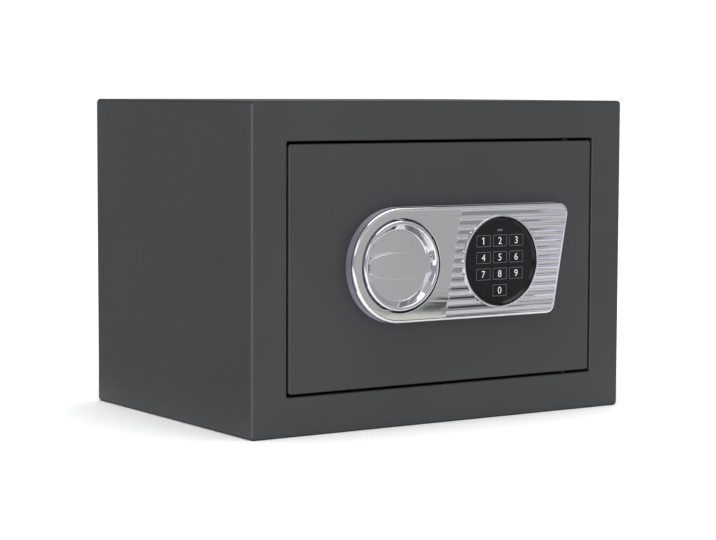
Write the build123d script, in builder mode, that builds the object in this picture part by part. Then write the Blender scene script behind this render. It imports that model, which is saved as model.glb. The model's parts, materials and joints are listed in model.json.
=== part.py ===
from build123d import *
import math
import os

# Electronic security safe: a sheet steel cabinet with a flush door on hidden pivots, a chrome lock
# plate with a turn knob and a round keypad, and the bolt work, solenoid and batteries in the door.
# Millimetres, +Z up. The origin is the centre of the base's underside and the front faces -Y.

os.makedirs("parts", exist_ok=True)

# Cabinet
body_width = 350.0
body_height = 250.0
body_depth = 250.0
sheet = 2.0
frame_skin = 3.0
bend_radius = 3.0
front_edge_radius = 2.0
back_edge_radius = 2.6
back_skirt = 6.0
opening_width = 290.0
opening_height = 190.0
opening_corner = 2.0
return_depth = 16.0
anchor_radius = 5.0
anchor_spacing = 200.0

# Door and its pivots
door_gap = 2.0
door_thickness = 4.0
door_edge_radius = 1.0
pan_sheet = 1.5
pan_depth = 40.0
pan_flange = 11.0
pan_left = -136.5
pan_right = 139.0
pan_inset = 2.0
hinge_from_edge = 22.0
hinge_behind_face = 8.0
pin_radius = 3.0
running_clearance = 0.05
hole_clearance = 0.2
screw_radius = 2.0

# Bolt work
bolt_radius = 8.0
bolt_length = 30.0
bolt_height = 45.0
bolt_behind_face = 25.0
bolt_tip_x = -137.0
crank_radius = 15.0
crank_pin_radius = 3.0
knob_turn = 90.0
carrier_front = 32.0
carrier_sheet = 3.0
post_height = 20.0
post_columns = (-88.0, -8.0)

# Lock plate, knob and keypad
knob_x = -48.6
keypad_x = 45.2
plate_radius = 44.3
plate_height = 10.0
plate_wall = 2.0
plate_top_right = 115.3
plate_bottom_right = 99.9
rib_count = 12
rib_pitch = 7.3
rib_width = 5.0
rib_rise = 1.0
knob_radius = 34.6
knob_gap = 0.7
keypad_hole_radius = 36.6
key_width = 13.8
key_height = 9.4
key_pitch_x = 16.0
key_pitch_z = 13.0
key_top_row = 16.0
key_travel = 0.8

# Worked out from the above
mid_height = body_height / 2
front_y = -body_depth / 2
door_width = opening_width - 2 * door_gap
door_height = opening_height - 2 * door_gap
hinge_x = door_width / 2 - hinge_from_edge
hinge_y = front_y + hinge_behind_face
pan_width = pan_right - pan_left
pan_middle = (pan_right + pan_left) / 2
pan_height = door_height - 2 * pan_inset
pan_back = door_thickness + pan_depth
stroke = 2 * crank_radius * math.sin(math.radians(knob_turn / 2))
crank_x = knob_x + stroke / 2
crank_z = crank_radius * math.cos(math.radians(knob_turn / 2))
post_spots = [(x, z) for x in post_columns for z in (-post_height, post_height)]


def facing(depth, x=0.0, z=0.0):
    """Upright plane, depth mm behind the cabinet's front face: local x is +X and local y is +Z.

    Its normal points out of the front, so a negative extrude goes into the safe.
    """
    return Plane(origin=(x, front_y + depth, mid_height + z), x_dir=(1, 0, 0), z_dir=(0, -1, 0))


def turned(x):
    """Plane through the axis of a round piece at x: local x is the radius, local y points forward."""
    return Plane(origin=(x, front_y, mid_height), x_dir=(1, 0, 0), z_dir=(0, 0, -1))


def turning_axis(x):
    """Axis of a round piece on the lock plate, pointing out of the front."""
    return Axis((x, front_y, mid_height), (0, -1, 0))


def outer_front_edges(builder):
    """Edges round the outside of the foremost flat face of a piece."""
    return builder.faces().filter_by(Axis.Y).sort_by(Axis.Y)[0].outer_wire().edges()


# Front frame: a flat ring with a folded return that lines the door opening
with BuildPart() as front_frame:
    with BuildSketch(facing(0)):
        RectangleRounded(body_width, body_height, bend_radius)
        RectangleRounded(opening_width, opening_height, opening_corner, mode=Mode.SUBTRACT)
    extrude(amount=-frame_skin)
    with BuildSketch(facing(frame_skin)):
        RectangleRounded(opening_width + 2 * sheet, opening_height + 2 * sheet, opening_corner + sheet)
        RectangleRounded(opening_width, opening_height, opening_corner, mode=Mode.SUBTRACT)
    extrude(amount=-(return_depth - frame_skin))
    front_face = front_frame.faces().filter_by(Axis.Y).sort_by(Axis.Y)[0]
    fillet(front_face.inner_wires()[0].edges(), door_edge_radius)
    fillet(outer_front_edges(front_frame), front_edge_radius)
    with Locations((hinge_x, hinge_y, mid_height)):
        Cylinder(pin_radius, opening_height + 4 * sheet, mode=Mode.SUBTRACT)
front_frame.part.label = "front_frame"
export_step(front_frame.part, "parts/front_frame.step")

# Body wrap: one sheet bent round the four sides, with two anchor holes in the base
with BuildPart() as body_wrap:
    with BuildSketch(facing(frame_skin)):
        RectangleRounded(body_width, body_height, bend_radius)
        RectangleRounded(
            body_width - 2 * sheet, body_height - 2 * sheet, bend_radius - sheet, mode=Mode.SUBTRACT
        )
    extrude(amount=-(body_depth - frame_skin - back_skirt))
    with BuildSketch(Plane.XY):
        with GridLocations(anchor_spacing, 0, 2, 1):
            Circle(anchor_radius)
    extrude(amount=sheet, mode=Mode.SUBTRACT)
body_wrap.part.label = "body_wrap"
export_step(body_wrap.part, "parts/body_wrap.step")

# Back panel: a pressed pan welded over the rear of the wrap, with two wall anchor holes
with BuildPart() as back_panel:
    with BuildSketch(facing(body_depth - back_skirt)):
        RectangleRounded(body_width, body_height, bend_radius)
    extrude(amount=-back_skirt)
    back_face = back_panel.faces().sort_by(Axis.Y)[-1]
    fillet(back_face.outer_wire().edges(), back_edge_radius)
    with BuildSketch(facing(body_depth - back_skirt)):
        RectangleRounded(body_width - 2 * sheet, body_height - 2 * sheet, bend_radius - sheet)
    extrude(amount=-(back_skirt - sheet), mode=Mode.SUBTRACT)
    with BuildSketch(facing(body_depth - sheet)):
        with GridLocations(anchor_spacing, 0, 2, 1):
            Circle(anchor_radius)
    extrude(amount=-sheet, mode=Mode.SUBTRACT)
back_panel.part.label = "back_panel"
export_step(back_panel.part, "parts/back_panel.step")

# Two stop tabs on the bolt side of the opening, which the closed door's plate rests on
tab_reach = 5.0
tab_length = 20.0
tab_height = 75.0
with BuildPart() as stop_tabs:
    with BuildSketch(facing(door_thickness, x=(tab_reach - opening_width) / 2)):
        with GridLocations(0, 2 * tab_height, 1, 2):
            Rectangle(tab_reach, tab_length)
    extrude(amount=-sheet)
stop_tabs.part.label = "stop_tabs"
export_step(stop_tabs.part, "parts/stop_tabs.step")

# Pivots, the same at the top and the bottom of the door: a plate that stiffens the frame's return,
# a headed pin through it, a nylon spacer in the gap and a bored block inside the door pan
hinge_plate_width = 28.0
hinge_plate_height = 3.0
pin_head_radius = 5.0
pin_head_height = 2.0
pin_reach = 17.5
pin_chamfer = 0.6
spacer_radius = 3.9
block_width = 18.0
block_depth = 10.0
block_height = 12.0
for end, side in (("upper", 1), ("lower", -1)):
    lip = mid_height + side * opening_height / 2
    pan_face = mid_height + side * pan_height / 2

    with BuildPart() as hinge_plate:
        with BuildSketch(Plane.XY.offset(lip + side * sheet)):
            with Locations((hinge_x, front_y + (frame_skin + return_depth) / 2)):
                Rectangle(hinge_plate_width, return_depth - frame_skin)
            with Locations((hinge_x, hinge_y)):
                Circle(pin_radius, mode=Mode.SUBTRACT)
        extrude(amount=side * hinge_plate_height)
    hinge_plate.part.label = f"hinge_plate_{end}"
    export_step(hinge_plate.part, f"parts/hinge_plate_{end}.step")

    head_face = lip + side * (sheet + hinge_plate_height)
    with BuildPart() as hinge_pin:
        with BuildSketch(Plane.XY.offset(head_face)):
            with Locations((hinge_x, hinge_y)):
                Circle(pin_head_radius)
        extrude(amount=side * pin_head_height)
        with BuildSketch(Plane.XY.offset(head_face)):
            with Locations((hinge_x, hinge_y)):
                Circle(pin_radius)
        extrude(amount=-side * (sheet + hinge_plate_height + pin_reach))
        tip = hinge_pin.faces().filter_by(Axis.Z).sort_by(Axis.Z)[0 if side > 0 else -1]
        chamfer(tip.edges(), pin_chamfer)
    hinge_pin.part.label = f"hinge_pin_{end}"
    export_step(hinge_pin.part, f"parts/hinge_pin_{end}.step")

    with BuildPart() as hinge_spacer:
        with BuildSketch(Plane.XY.offset(lip)):
            with Locations((hinge_x, hinge_y)):
                Circle(spacer_radius)
                Circle(pin_radius + running_clearance, mode=Mode.SUBTRACT)
        extrude(amount=pan_face - lip)
    hinge_spacer.part.label = f"hinge_spacer_{end}"
    export_step(hinge_spacer.part, f"parts/hinge_spacer_{end}.step")

    with BuildPart() as hinge_block:
        with BuildSketch(Plane.XY.offset(pan_face - side * pan_sheet)):
            with Locations((hinge_x, front_y + door_thickness + block_depth / 2)):
                Rectangle(block_width, block_depth)
            with Locations((hinge_x, hinge_y)):
                Circle(pin_radius + running_clearance, mode=Mode.SUBTRACT)
        extrude(amount=-side * block_height)
    hinge_block.part.label = f"hinge_block_{end}"
    export_step(hinge_block.part, f"parts/hinge_block_{end}.step")

# Door plate: flush with the frame, drilled for the spindle, the keypad's lead and four screws
bush_radius = 8.0
lead_hole_radius = 6.0
plate_screw_spots = ((-76.5, 27.9), (-76.5, -27.9), (98.0, 33.0), (88.0, -33.0))
with BuildPart() as door_plate:
    with BuildSketch(facing(0)):
        RectangleRounded(door_width, door_height, opening_corner)
        with Locations((knob_x, 0)):
            Circle(bush_radius, mode=Mode.SUBTRACT)
        with Locations((keypad_x, 0)):
            Circle(lead_hole_radius, mode=Mode.SUBTRACT)
        with Locations(*plate_screw_spots):
            Circle(screw_radius + hole_clearance, mode=Mode.SUBTRACT)
    extrude(amount=-door_thickness)
    fillet(outer_front_edges(door_plate), door_edge_radius)
door_plate.part.label = "door_plate"
export_step(door_plate.part, "parts/door_plate.step")

# Door pan: a folded channel welded behind the plate, with a flange that the inner cover screws to
pan_bush_radius = 10.0
cover_screw_spacing_x = 130.0
cover_screw_spacing_z = pan_height - pan_flange
with BuildPart() as door_pan:
    with BuildSketch(facing(door_thickness, x=pan_middle)):
        RectangleRounded(pan_width, pan_height, opening_corner)
        Rectangle(pan_width - 2 * pan_sheet, pan_height - 2 * pan_sheet, mode=Mode.SUBTRACT)
    extrude(amount=-pan_depth)
    with BuildSketch(facing(pan_back - pan_sheet, x=pan_middle)):
        Rectangle(pan_width - pan_sheet, pan_height - pan_sheet)
        Rectangle(pan_width - 2 * pan_flange, pan_height - 2 * pan_flange, mode=Mode.SUBTRACT)
        with GridLocations(cover_screw_spacing_x, cover_screw_spacing_z, 3, 2):
            Circle(screw_radius, mode=Mode.SUBTRACT)
    extrude(amount=-pan_sheet)
    left_wall = Plane(
        origin=(pan_left, front_y + bolt_behind_face, mid_height), x_dir=(0, 1, 0), z_dir=(1, 0, 0)
    )
    with BuildSketch(left_wall):
        with GridLocations(0, 2 * bolt_height, 1, 2):
            Circle(pan_bush_radius)
    extrude(amount=pan_sheet, mode=Mode.SUBTRACT)
    with Locations((hinge_x, hinge_y, mid_height)):
        Cylinder(pin_radius + running_clearance, pan_height, mode=Mode.SUBTRACT)
door_pan.part.label = "door_pan"
export_step(door_pan.part, "parts/door_pan.step")

# Flanged nylon bushes that guide the two bolts through the pan's side
bush_flange_radius = 12.0
bush_outside = 0.5
bush_inside = 6.0
bush_flange = 1.5
with BuildPart() as bolt_bushes:
    with BuildSketch(left_wall.offset(-bush_outside)):
        with GridLocations(0, 2 * bolt_height, 1, 2):
            Circle(pan_bush_radius)
    extrude(amount=bush_outside + bush_inside)
    with BuildSketch(left_wall.offset(pan_sheet)):
        with GridLocations(0, 2 * bolt_height, 1, 2):
            Circle(bush_flange_radius)
    extrude(amount=bush_flange)
    with BuildSketch(left_wall.offset(-bush_outside)):
        with GridLocations(0, 2 * bolt_height, 1, 2):
            Circle(bolt_radius + running_clearance)
    extrude(amount=bush_outside + bush_inside, mode=Mode.SUBTRACT)
bolt_bushes.part.label = "bolt_bushes"
export_step(bolt_bushes.part, "parts/bolt_bushes.step")

# Bolt carrier: a sheet steel slide with a folded flange, a crank slot and four guide slots.
# Two round holes, one stroke apart, take the solenoid's plunger at either end of the travel.
carrier_left = bolt_tip_x + bolt_length
carrier_right = 26.0
carrier_half_height = 32.0
carrier_corner = 5.0
bar_right = -76.0
bar_half_height = 57.0
flange_front = 15.0
flange_corner = 2.0
guide_radius = 4.0
guide_clearance = 0.2
slot_spare = 0.5
crank_slot_clearance = 0.6
crank_slot_spare = 1.2
plunger_x = -5.0
plunger_tip_radius = 3.0
plunger_hole_radius = 3.4
stud_radius = 4.0
guide_slot_height = 2 * (guide_radius + guide_clearance)
guide_slot_length = stroke + 2 * (guide_radius + slot_spare)
crank_slot_width = 2 * (crank_pin_radius + crank_slot_clearance)
crank_slot_low = crank_z - crank_pin_radius - crank_slot_spare
crank_slot_high = crank_radius + crank_pin_radius + crank_slot_spare
with BuildPart() as bolt_carrier:
    with BuildSketch(facing(carrier_front)):
        with Locations(((carrier_left + carrier_right) / 2, 0)):
            RectangleRounded(carrier_right - carrier_left, 2 * carrier_half_height, carrier_corner)
        with Locations(((carrier_left + bar_right) / 2, 0)):
            RectangleRounded(bar_right - carrier_left, 2 * bar_half_height, carrier_corner)
        with Locations(*[(x + stroke / 2, z) for x, z in post_spots]):
            SlotOverall(guide_slot_length, guide_slot_height, mode=Mode.SUBTRACT)
        with Locations((crank_x, (crank_slot_low + crank_slot_high) / 2)):
            SlotOverall(
                crank_slot_high - crank_slot_low, crank_slot_width, rotation=90, mode=Mode.SUBTRACT
            )
        with Locations((plunger_x, 0), (plunger_x + stroke, 0)):
            Circle(plunger_hole_radius, mode=Mode.SUBTRACT)
    extrude(amount=-carrier_sheet)
    flange_plane = Plane(
        origin=(carrier_left, front_y, mid_height), x_dir=(0, 1, 0), z_dir=(1, 0, 0)
    )
    flange_width = carrier_front + carrier_sheet - flange_front
    with BuildSketch(flange_plane):
        with Locations((flange_front + flange_width / 2, 0)):
            RectangleRounded(flange_width, 2 * bar_half_height, flange_corner)
        with Locations((bolt_behind_face, bolt_height), (bolt_behind_face, -bolt_height)):
            Circle(stud_radius + hole_clearance, mode=Mode.SUBTRACT)
    extrude(amount=carrier_sheet)
bolt_carrier.part.label = "bolt_carrier"
export_step(bolt_carrier.part, "parts/bolt_carrier.step")

# The two locking bolts: round bar with a rounded nose and a threaded stud through the flange
stud_length = 13.0
nose_radius = 2.5
stud_chamfer = 0.8
for end, side in (("upper", 1), ("lower", -1)):
    bolt_start = Plane(
        origin=(carrier_left, front_y + bolt_behind_face, mid_height + side * bolt_height),
        z_dir=(-1, 0, 0),
    )
    with BuildPart() as lock_bolt:
        with BuildSketch(bolt_start):
            Circle(bolt_radius)
        extrude(amount=bolt_length)
        fillet(lock_bolt.faces().sort_by(Axis.X)[0].edges(), nose_radius)
        with BuildSketch(bolt_start):
            Circle(stud_radius)
        extrude(amount=-stud_length)
        chamfer(lock_bolt.faces().sort_by(Axis.X)[-1].edges(), stud_chamfer)
    lock_bolt.part.label = f"lock_bolt_{end}"
    export_step(lock_bolt.part, f"parts/lock_bolt_{end}.step")

# Nuts that hold the bolts to the carrier's flange
nut_radius = 7.5
nut_height = 6.5
with BuildPart() as bolt_nuts:
    nut_face = Plane(
        origin=(carrier_left + carrier_sheet, front_y + bolt_behind_face, mid_height),
        x_dir=(0, 1, 0),
        z_dir=(1, 0, 0),
    )
    with BuildSketch(nut_face):
        with GridLocations(0, 2 * bolt_height, 1, 2):
            RegularPolygon(nut_radius, 6, rotation=30)
            Circle(stud_radius, mode=Mode.SUBTRACT)
    extrude(amount=nut_height)
bolt_nuts.part.label = "bolt_nuts"
export_step(bolt_nuts.part, "parts/bolt_nuts.step")

# Guide posts welded to the door plate: a shoulder carries the slide, a neck runs in its slot
post_radius = 6.5
post_thread_radius = 3.0
slide_clearance = 0.1
shoulder_back = carrier_front - slide_clearance
neck_back = carrier_front + carrier_sheet + 2 * slide_clearance
thread_back = 42.0
washer_radius = 8.0
washer_sheet = 1.2
post_nut_radius = 5.8
post_nut_height = 4.0
with BuildPart() as guide_posts:
    for start, stop, radius in (
        (door_thickness, shoulder_back, post_radius),
        (shoulder_back, neck_back, guide_radius),
        (neck_back, thread_back, post_thread_radius),
    ):
        with BuildSketch(facing(start)):
            with Locations(*post_spots):
                Circle(radius)
        extrude(amount=start - stop)
guide_posts.part.label = "guide_posts"
export_step(guide_posts.part, "parts/guide_posts.step")

with BuildPart() as guide_washers:
    with BuildSketch(facing(neck_back)):
        with Locations(*post_spots):
            Circle(washer_radius)
            Circle(post_thread_radius, mode=Mode.SUBTRACT)
    extrude(amount=-washer_sheet)
guide_washers.part.label = "guide_washers"
export_step(guide_washers.part, "parts/guide_washers.step")

with BuildPart() as guide_nuts:
    with BuildSketch(facing(neck_back + washer_sheet)):
        with Locations(*post_spots):
            RegularPolygon(post_nut_radius, 6)
            Circle(post_thread_radius, mode=Mode.SUBTRACT)
    extrude(amount=-post_nut_height)
guide_nuts.part.label = "guide_nuts"
export_step(guide_nuts.part, "parts/guide_nuts.step")

# Knob: one casting with a rounded rim, two half-moon finger wells and a barrel-shaped grip bar
knob_back = 1.6
well_floor = 3.0
well_radius = 27.2
well_round = 1.6
rim_crest = 11.4
rim_inner = 31.2
rim_round = 1.9
rim_drop = 1.2
bar_top = 9.2
bar_middle = 21.0
bar_end = 11.5
bar_half_length = 28.0
bar_edge_radius = 0.7
spindle_radius = 5.0
spindle_front = 8.5
with BuildPart() as knob:
    with BuildSketch(turned(knob_x)):
        with BuildLine():
            crest = (knob_radius - rim_round, rim_crest)
            rim_edge = (rim_inner, rim_crest - rim_drop)
            wall_foot = (well_radius, well_floor + rim_drop)
            side = Polyline(
                (0, well_floor),
                (0, knob_back),
                (knob_radius, knob_back),
                (knob_radius, rim_crest - rim_round),
            )
            TangentArc(side @ 1, crest, tangent=(0, 1))
            TangentArc(crest, rim_edge, tangent=(-1, 0))
            wall = Line(rim_edge, wall_foot)
            TangentArc(wall_foot, (well_radius - well_round, well_floor), tangent=wall % 1)
            Line((well_radius - well_round, well_floor), (0, well_floor))
        make_face()
    revolve(axis=turning_axis(knob_x))
    with BuildSketch(facing(-knob_back, x=knob_x)):
        with BuildLine():
            upper = ThreePointArc(
                (-bar_half_length, bar_end / 2), (0, bar_middle / 2), (bar_half_length, bar_end / 2)
            )
            lower = ThreePointArc(
                (-bar_half_length, -bar_end / 2), (0, -bar_middle / 2), (bar_half_length, -bar_end / 2)
            )
            Line(upper @ 0, lower @ 0)
            Line(upper @ 1, lower @ 1)
        make_face()
    extrude(amount=bar_top - knob_back)
    fillet(outer_front_edges(knob), bar_edge_radius)
    with BuildSketch(facing(-knob_back, x=knob_x)):
        Circle(spindle_radius)
    extrude(amount=spindle_front - knob_back, mode=Mode.SUBTRACT)
knob.part.label = "knob"
export_step(knob.part, "parts/knob.step")

# Spindle from the knob through the door, and the nylon bush that it turns in
spindle_slide_gap = 1.5
spindle_back = carrier_front - spindle_slide_gap
spindle_chamfer = 0.5
roll_pin_depth = 20.0
roll_pin_radius = 1.25
roll_pin_bore = 0.6
well_skin = 1.2
bush_back = 6.0
bush_front = -well_skin
bush_collar = 2.5
with BuildPart() as spindle:
    with BuildSketch(facing(-spindle_front, x=knob_x)):
        Circle(spindle_radius)
    extrude(amount=-(spindle_front + spindle_back))
    chamfer(spindle.faces().sort_by(Axis.Y)[-1].edges(), spindle_chamfer)
    with Locations((knob_x, front_y + roll_pin_depth, mid_height)):
        Cylinder(roll_pin_radius, 3 * spindle_radius, mode=Mode.SUBTRACT)
spindle.part.label = "spindle"
export_step(spindle.part, "parts/spindle.step")

with BuildPart() as spindle_bush:
    with BuildSketch(facing(bush_front, x=knob_x)):
        Circle(bush_radius)
    extrude(amount=bush_front - bush_back)
    with BuildSketch(facing(door_thickness, x=knob_x)):
        Circle(bush_radius + bush_collar)
    extrude(amount=door_thickness - bush_back)
    with BuildSketch(facing(bush_front, x=knob_x)):
        Circle(spindle_radius + running_clearance)
    extrude(amount=bush_front - bush_back, mode=Mode.SUBTRACT)
spindle_bush.part.label = "spindle_bush"
export_step(spindle_bush.part, "parts/spindle_bush.step")

# Crank on the spindle: a hub, a teardrop arm and the pin that drives the slide
crank_sheet = 3.5
crank_slide_gap = 2.5
crank_pin_spare = 1.5
crank_front = carrier_front - crank_sheet - crank_slide_gap
crank_pin_back = carrier_front + carrier_sheet + crank_pin_spare
hub_front = 17.0
hub_radius = 9.0
arm_root_radius = 11.5
arm_tip_radius = 6.5
with BuildPart() as crank:
    with BuildSketch(facing(crank_front, x=knob_x)):
        Circle(arm_root_radius)
        with Locations((stroke / 2, crank_z)):
            Circle(arm_tip_radius)
        make_hull()
    extrude(amount=-crank_sheet)
    with BuildSketch(facing(hub_front, x=knob_x)):
        Circle(hub_radius)
    extrude(amount=hub_front - crank_front)
    with BuildSketch(facing(hub_front, x=knob_x)):
        Circle(spindle_radius)
    extrude(amount=hub_front - crank_front - crank_sheet, mode=Mode.SUBTRACT)
    with BuildSketch(facing(crank_front + crank_sheet, x=crank_x, z=crank_z)):
        Circle(crank_pin_radius)
    extrude(amount=crank_front + crank_sheet - crank_pin_back)
    with Locations((knob_x, front_y + roll_pin_depth, mid_height)):
        Cylinder(roll_pin_radius, 3 * hub_radius, mode=Mode.SUBTRACT)
crank.part.label = "crank"
export_step(crank.part, "parts/crank.step")

# Roll pin through the crank's hub and the spindle
with BuildPart() as roll_pin:
    with Locations((knob_x, front_y + roll_pin_depth, mid_height)):
        Cylinder(roll_pin_radius, 2 * hub_radius)
        Cylinder(roll_pin_bore, 2 * hub_radius, mode=Mode.SUBTRACT)
roll_pin.part.label = "roll_pin"
export_step(roll_pin.part, "parts/roll_pin.step")

# Solenoid that locks the slide: an open steel frame, a wound bobbin and a stepped plunger
solenoid_slide_gap = 2.0
solenoid_half = 12.0
solenoid_strap = 1.5
solenoid_back = carrier_front - solenoid_slide_gap
coil_front = door_thickness + solenoid_strap
coil_back = solenoid_back - solenoid_strap
solenoid_foot = 20.0
solenoid_foot_height = 12.0
solenoid_foot_corner = 2.0
bobbin_radius = 10.4
bobbin_flange = 1.0
winding_radius = 9.6
foot_screw_inset = 4.0
plunger_radius = 4.0
bore_front = 7.0
plunger_front = 8.0
plunger_chamfer = 0.6
plunger_neck = 4.5
plunger_slide_gap = 0.5
plunger_step = coil_back - plunger_neck
plunger_back = carrier_front - plunger_slide_gap
with BuildPart() as solenoid_frame:
    with BuildSketch(facing(door_thickness, x=plunger_x)):
        Rectangle(2 * (solenoid_half - bobbin_flange), 2 * solenoid_half)
    extrude(amount=door_thickness - solenoid_back)
    with BuildSketch(facing(coil_front, x=plunger_x)):
        Rectangle(2 * solenoid_half, 2 * (solenoid_half - solenoid_strap))
    extrude(amount=coil_front - coil_back, mode=Mode.SUBTRACT)
    with BuildSketch(facing(door_thickness, x=plunger_x)):
        RectangleRounded(2 * solenoid_foot, solenoid_foot_height, solenoid_foot_corner)
    extrude(amount=door_thickness - coil_front)
    with BuildSketch(facing(coil_back, x=plunger_x)):
        Circle(plunger_tip_radius + hole_clearance)
    extrude(amount=coil_back - solenoid_back, mode=Mode.SUBTRACT)
solenoid_frame.part.label = "solenoid_frame"
export_step(solenoid_frame.part, "parts/solenoid_frame.step")

with BuildPart() as solenoid_coil:
    with BuildSketch(facing(coil_front, x=plunger_x)):
        Circle(winding_radius)
    extrude(amount=coil_front - coil_back)
    for flange_start in (coil_front, coil_back - bobbin_flange):
        with BuildSketch(facing(flange_start, x=plunger_x)):
            Circle(bobbin_radius)
        extrude(amount=-bobbin_flange)
    with BuildSketch(facing(bore_front, x=plunger_x)):
        Circle(plunger_radius + running_clearance)
    extrude(amount=bore_front - coil_back, mode=Mode.SUBTRACT)
solenoid_coil.part.label = "solenoid_coil"
export_step(solenoid_coil.part, "parts/solenoid_coil.step")

with BuildPart() as solenoid_plunger:
    with BuildSketch(facing(plunger_front, x=plunger_x)):
        Circle(plunger_radius)
    extrude(amount=plunger_front - plunger_step)
    with BuildSketch(facing(plunger_step, x=plunger_x)):
        Circle(plunger_tip_radius)
    extrude(amount=plunger_step - plunger_back)
    chamfer(solenoid_plunger.faces().sort_by(Axis.Y)[-1].edges(), plunger_chamfer)
solenoid_plunger.part.label = "solenoid_plunger"
export_step(solenoid_plunger.part, "parts/solenoid_plunger.step")

head_radius = 3.6
head_height = 2.2
head_round = 0.9
with BuildPart() as solenoid_screws:
    with BuildSketch(facing(coil_front, x=plunger_x)):
        with GridLocations(2 * (solenoid_foot - foot_screw_inset), 0, 2, 1):
            Circle(head_radius)
    extrude(amount=-head_height)
    fillet(solenoid_screws.faces().sort_by(Axis.Y)[-2:].edges(), head_round)
solenoid_screws.part.label = "solenoid_screws"
export_step(solenoid_screws.part, "parts/solenoid_screws.step")


# Outline of the lock plate: a half round end, and a slanted right end with rounded corners
plate_corner = 8.5


def plate_outline(inset=0.0, end_inset=None):
    """The lock plate's outline as a sketch, with every side moved inwards by the inset.

    The slanted end may have an inset of its own.
    """
    end_inset = inset if end_inset is None else end_inset
    radius = plate_radius - inset
    slope = (plate_top_right - plate_bottom_right) / (2 * plate_radius)
    middle_right = (plate_top_right + plate_bottom_right) / 2 - end_inset * math.hypot(1, slope)
    with BuildSketch() as outline:
        with BuildLine():
            Line((knob_x, radius), (middle_right + slope * radius, radius))
            Line((middle_right + slope * radius, radius), (middle_right - slope * radius, -radius))
            Line((middle_right - slope * radius, -radius), (knob_x, -radius))
            ThreePointArc((knob_x, -radius), (knob_x - radius, 0), (knob_x, radius))
        make_face()
        fillet(outline.vertices().sort_by(Axis.X)[-2:], plate_corner - end_inset)
    return outline.sketch


# Lock plate: a chromed shell with a well for the knob, a hole for the keypad and raised ribs
plate_edge_radius = 2.4
well_clear_radius = knob_radius + knob_gap
rib_left_top = 6.0
rib_left_bottom = -8.0
rib_side_margin = 1.0
rib_end_margin = 3.6
boss_radius = 4.0
with BuildPart() as lock_plate:
    with BuildSketch(facing(0)):
        add(plate_outline())
    extrude(amount=plate_height)
    fillet(outer_front_edges(lock_plate), plate_edge_radius)
    with BuildSketch(facing(0)):
        add(plate_outline(plate_wall))
        with Locations((knob_x, 0)):
            Circle(well_clear_radius + plate_wall, mode=Mode.SUBTRACT)
        with Locations(*plate_screw_spots):
            Circle(boss_radius, mode=Mode.SUBTRACT)
    extrude(amount=plate_height - plate_wall, mode=Mode.SUBTRACT)
    with BuildSketch(facing(-plate_height)):
        top_rib = (rib_count - 1) / 2 * rib_pitch
        for row in range(rib_count):
            z = row * rib_pitch - top_rib
            left = rib_left_bottom + (rib_left_top - rib_left_bottom) * (z + top_rib) / (2 * top_rib)
            with Locations(((left + plate_top_right) / 2, z)):
                Rectangle(plate_top_right - left, rib_width)
        add(plate_outline(rib_side_margin, rib_end_margin), mode=Mode.INTERSECT)
    extrude(amount=rib_rise)
    with BuildSketch(facing(-plate_height - rib_rise)):
        with Locations((keypad_x, 0)):
            Circle(keypad_hole_radius)
    extrude(amount=-(plate_height + rib_rise), mode=Mode.SUBTRACT)
    with BuildSketch(facing(-plate_height)):
        with Locations((knob_x, 0)):
            Circle(well_clear_radius)
    extrude(amount=-(plate_height - well_skin), mode=Mode.SUBTRACT)
    with BuildSketch(facing(0)):
        with Locations((knob_x, 0)):
            Circle(bush_radius)
    extrude(amount=well_skin, mode=Mode.SUBTRACT)
    with BuildSketch(facing(0)):
        with Locations(*plate_screw_spots):
            Circle(screw_radius)
    extrude(amount=plate_height - plate_wall, mode=Mode.SUBTRACT)
lock_plate.part.label = "lock_plate"
export_step(lock_plate.part, "parts/lock_plate.step")

# Four screws through the door into the lock plate's bosses
with BuildPart() as plate_screws:
    with BuildSketch(facing(door_thickness)):
        with Locations(*plate_screw_spots):
            Circle(head_radius)
    extrude(amount=-head_height)
    fillet(plate_screws.faces().filter_by(Axis.Y).sort_by(Axis.Y)[-4:].edges(), head_round)
    with BuildSketch(facing(door_thickness)):
        with Locations(*plate_screw_spots):
            Circle(screw_radius)
    extrude(amount=door_thickness + plate_height - plate_wall)
plate_screws.part.label = "plate_screws"
export_step(plate_screws.part, "parts/plate_screws.step")

# Keypad: a moulded cup on the door, a circuit board, a silicone key mat, the sunk face with its raised
# rim, which has a pry notch at the top and the bottom, and a chrome bezel
cup_radius = 35.0
cup_floor = 1.6
cup_post_radius = 2.2
cup_post_circle = 28.0
board_front = 4.2
board_sheet = 1.6
board_clearance = 0.3
face_front = 9.2
face_sheet = 1.6
face_rim_front = 11.3
face_rim_width = 1.2
face_rim_radius = 0.4
notch_radius = 1.6
bezel_front = 11.8
bezel_back = 4.0
bezel_radius = keypad_hole_radius - hole_clearance / 2
key_flange = 0.8
key_proud = 0.3
bezel_bevel = 0.6
bezel_land = 0.3
mat_sheet = 1.0
mat_radius = 31.5
mat_front = face_front - face_sheet - key_flange - key_travel - running_clearance
dome_width = 7.0
dome_height = 5.0
dome_corner = 2.0
face_radius = 34.8
key_spots = {"0": (0, key_top_row - 3 * key_pitch_z)}
for digit in range(1, 10):
    row, column = divmod(digit - 1, 3)
    key_spots[str(digit)] = ((column - 1) * key_pitch_x, key_top_row - row * key_pitch_z)
key_clearance = 0.2
key_corner = 0.9
key_chamfer = 0.25
key_flange_reach = 0.6
led_height = 24.2
led_width = 5.0
led_thickness = 1.5

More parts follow.
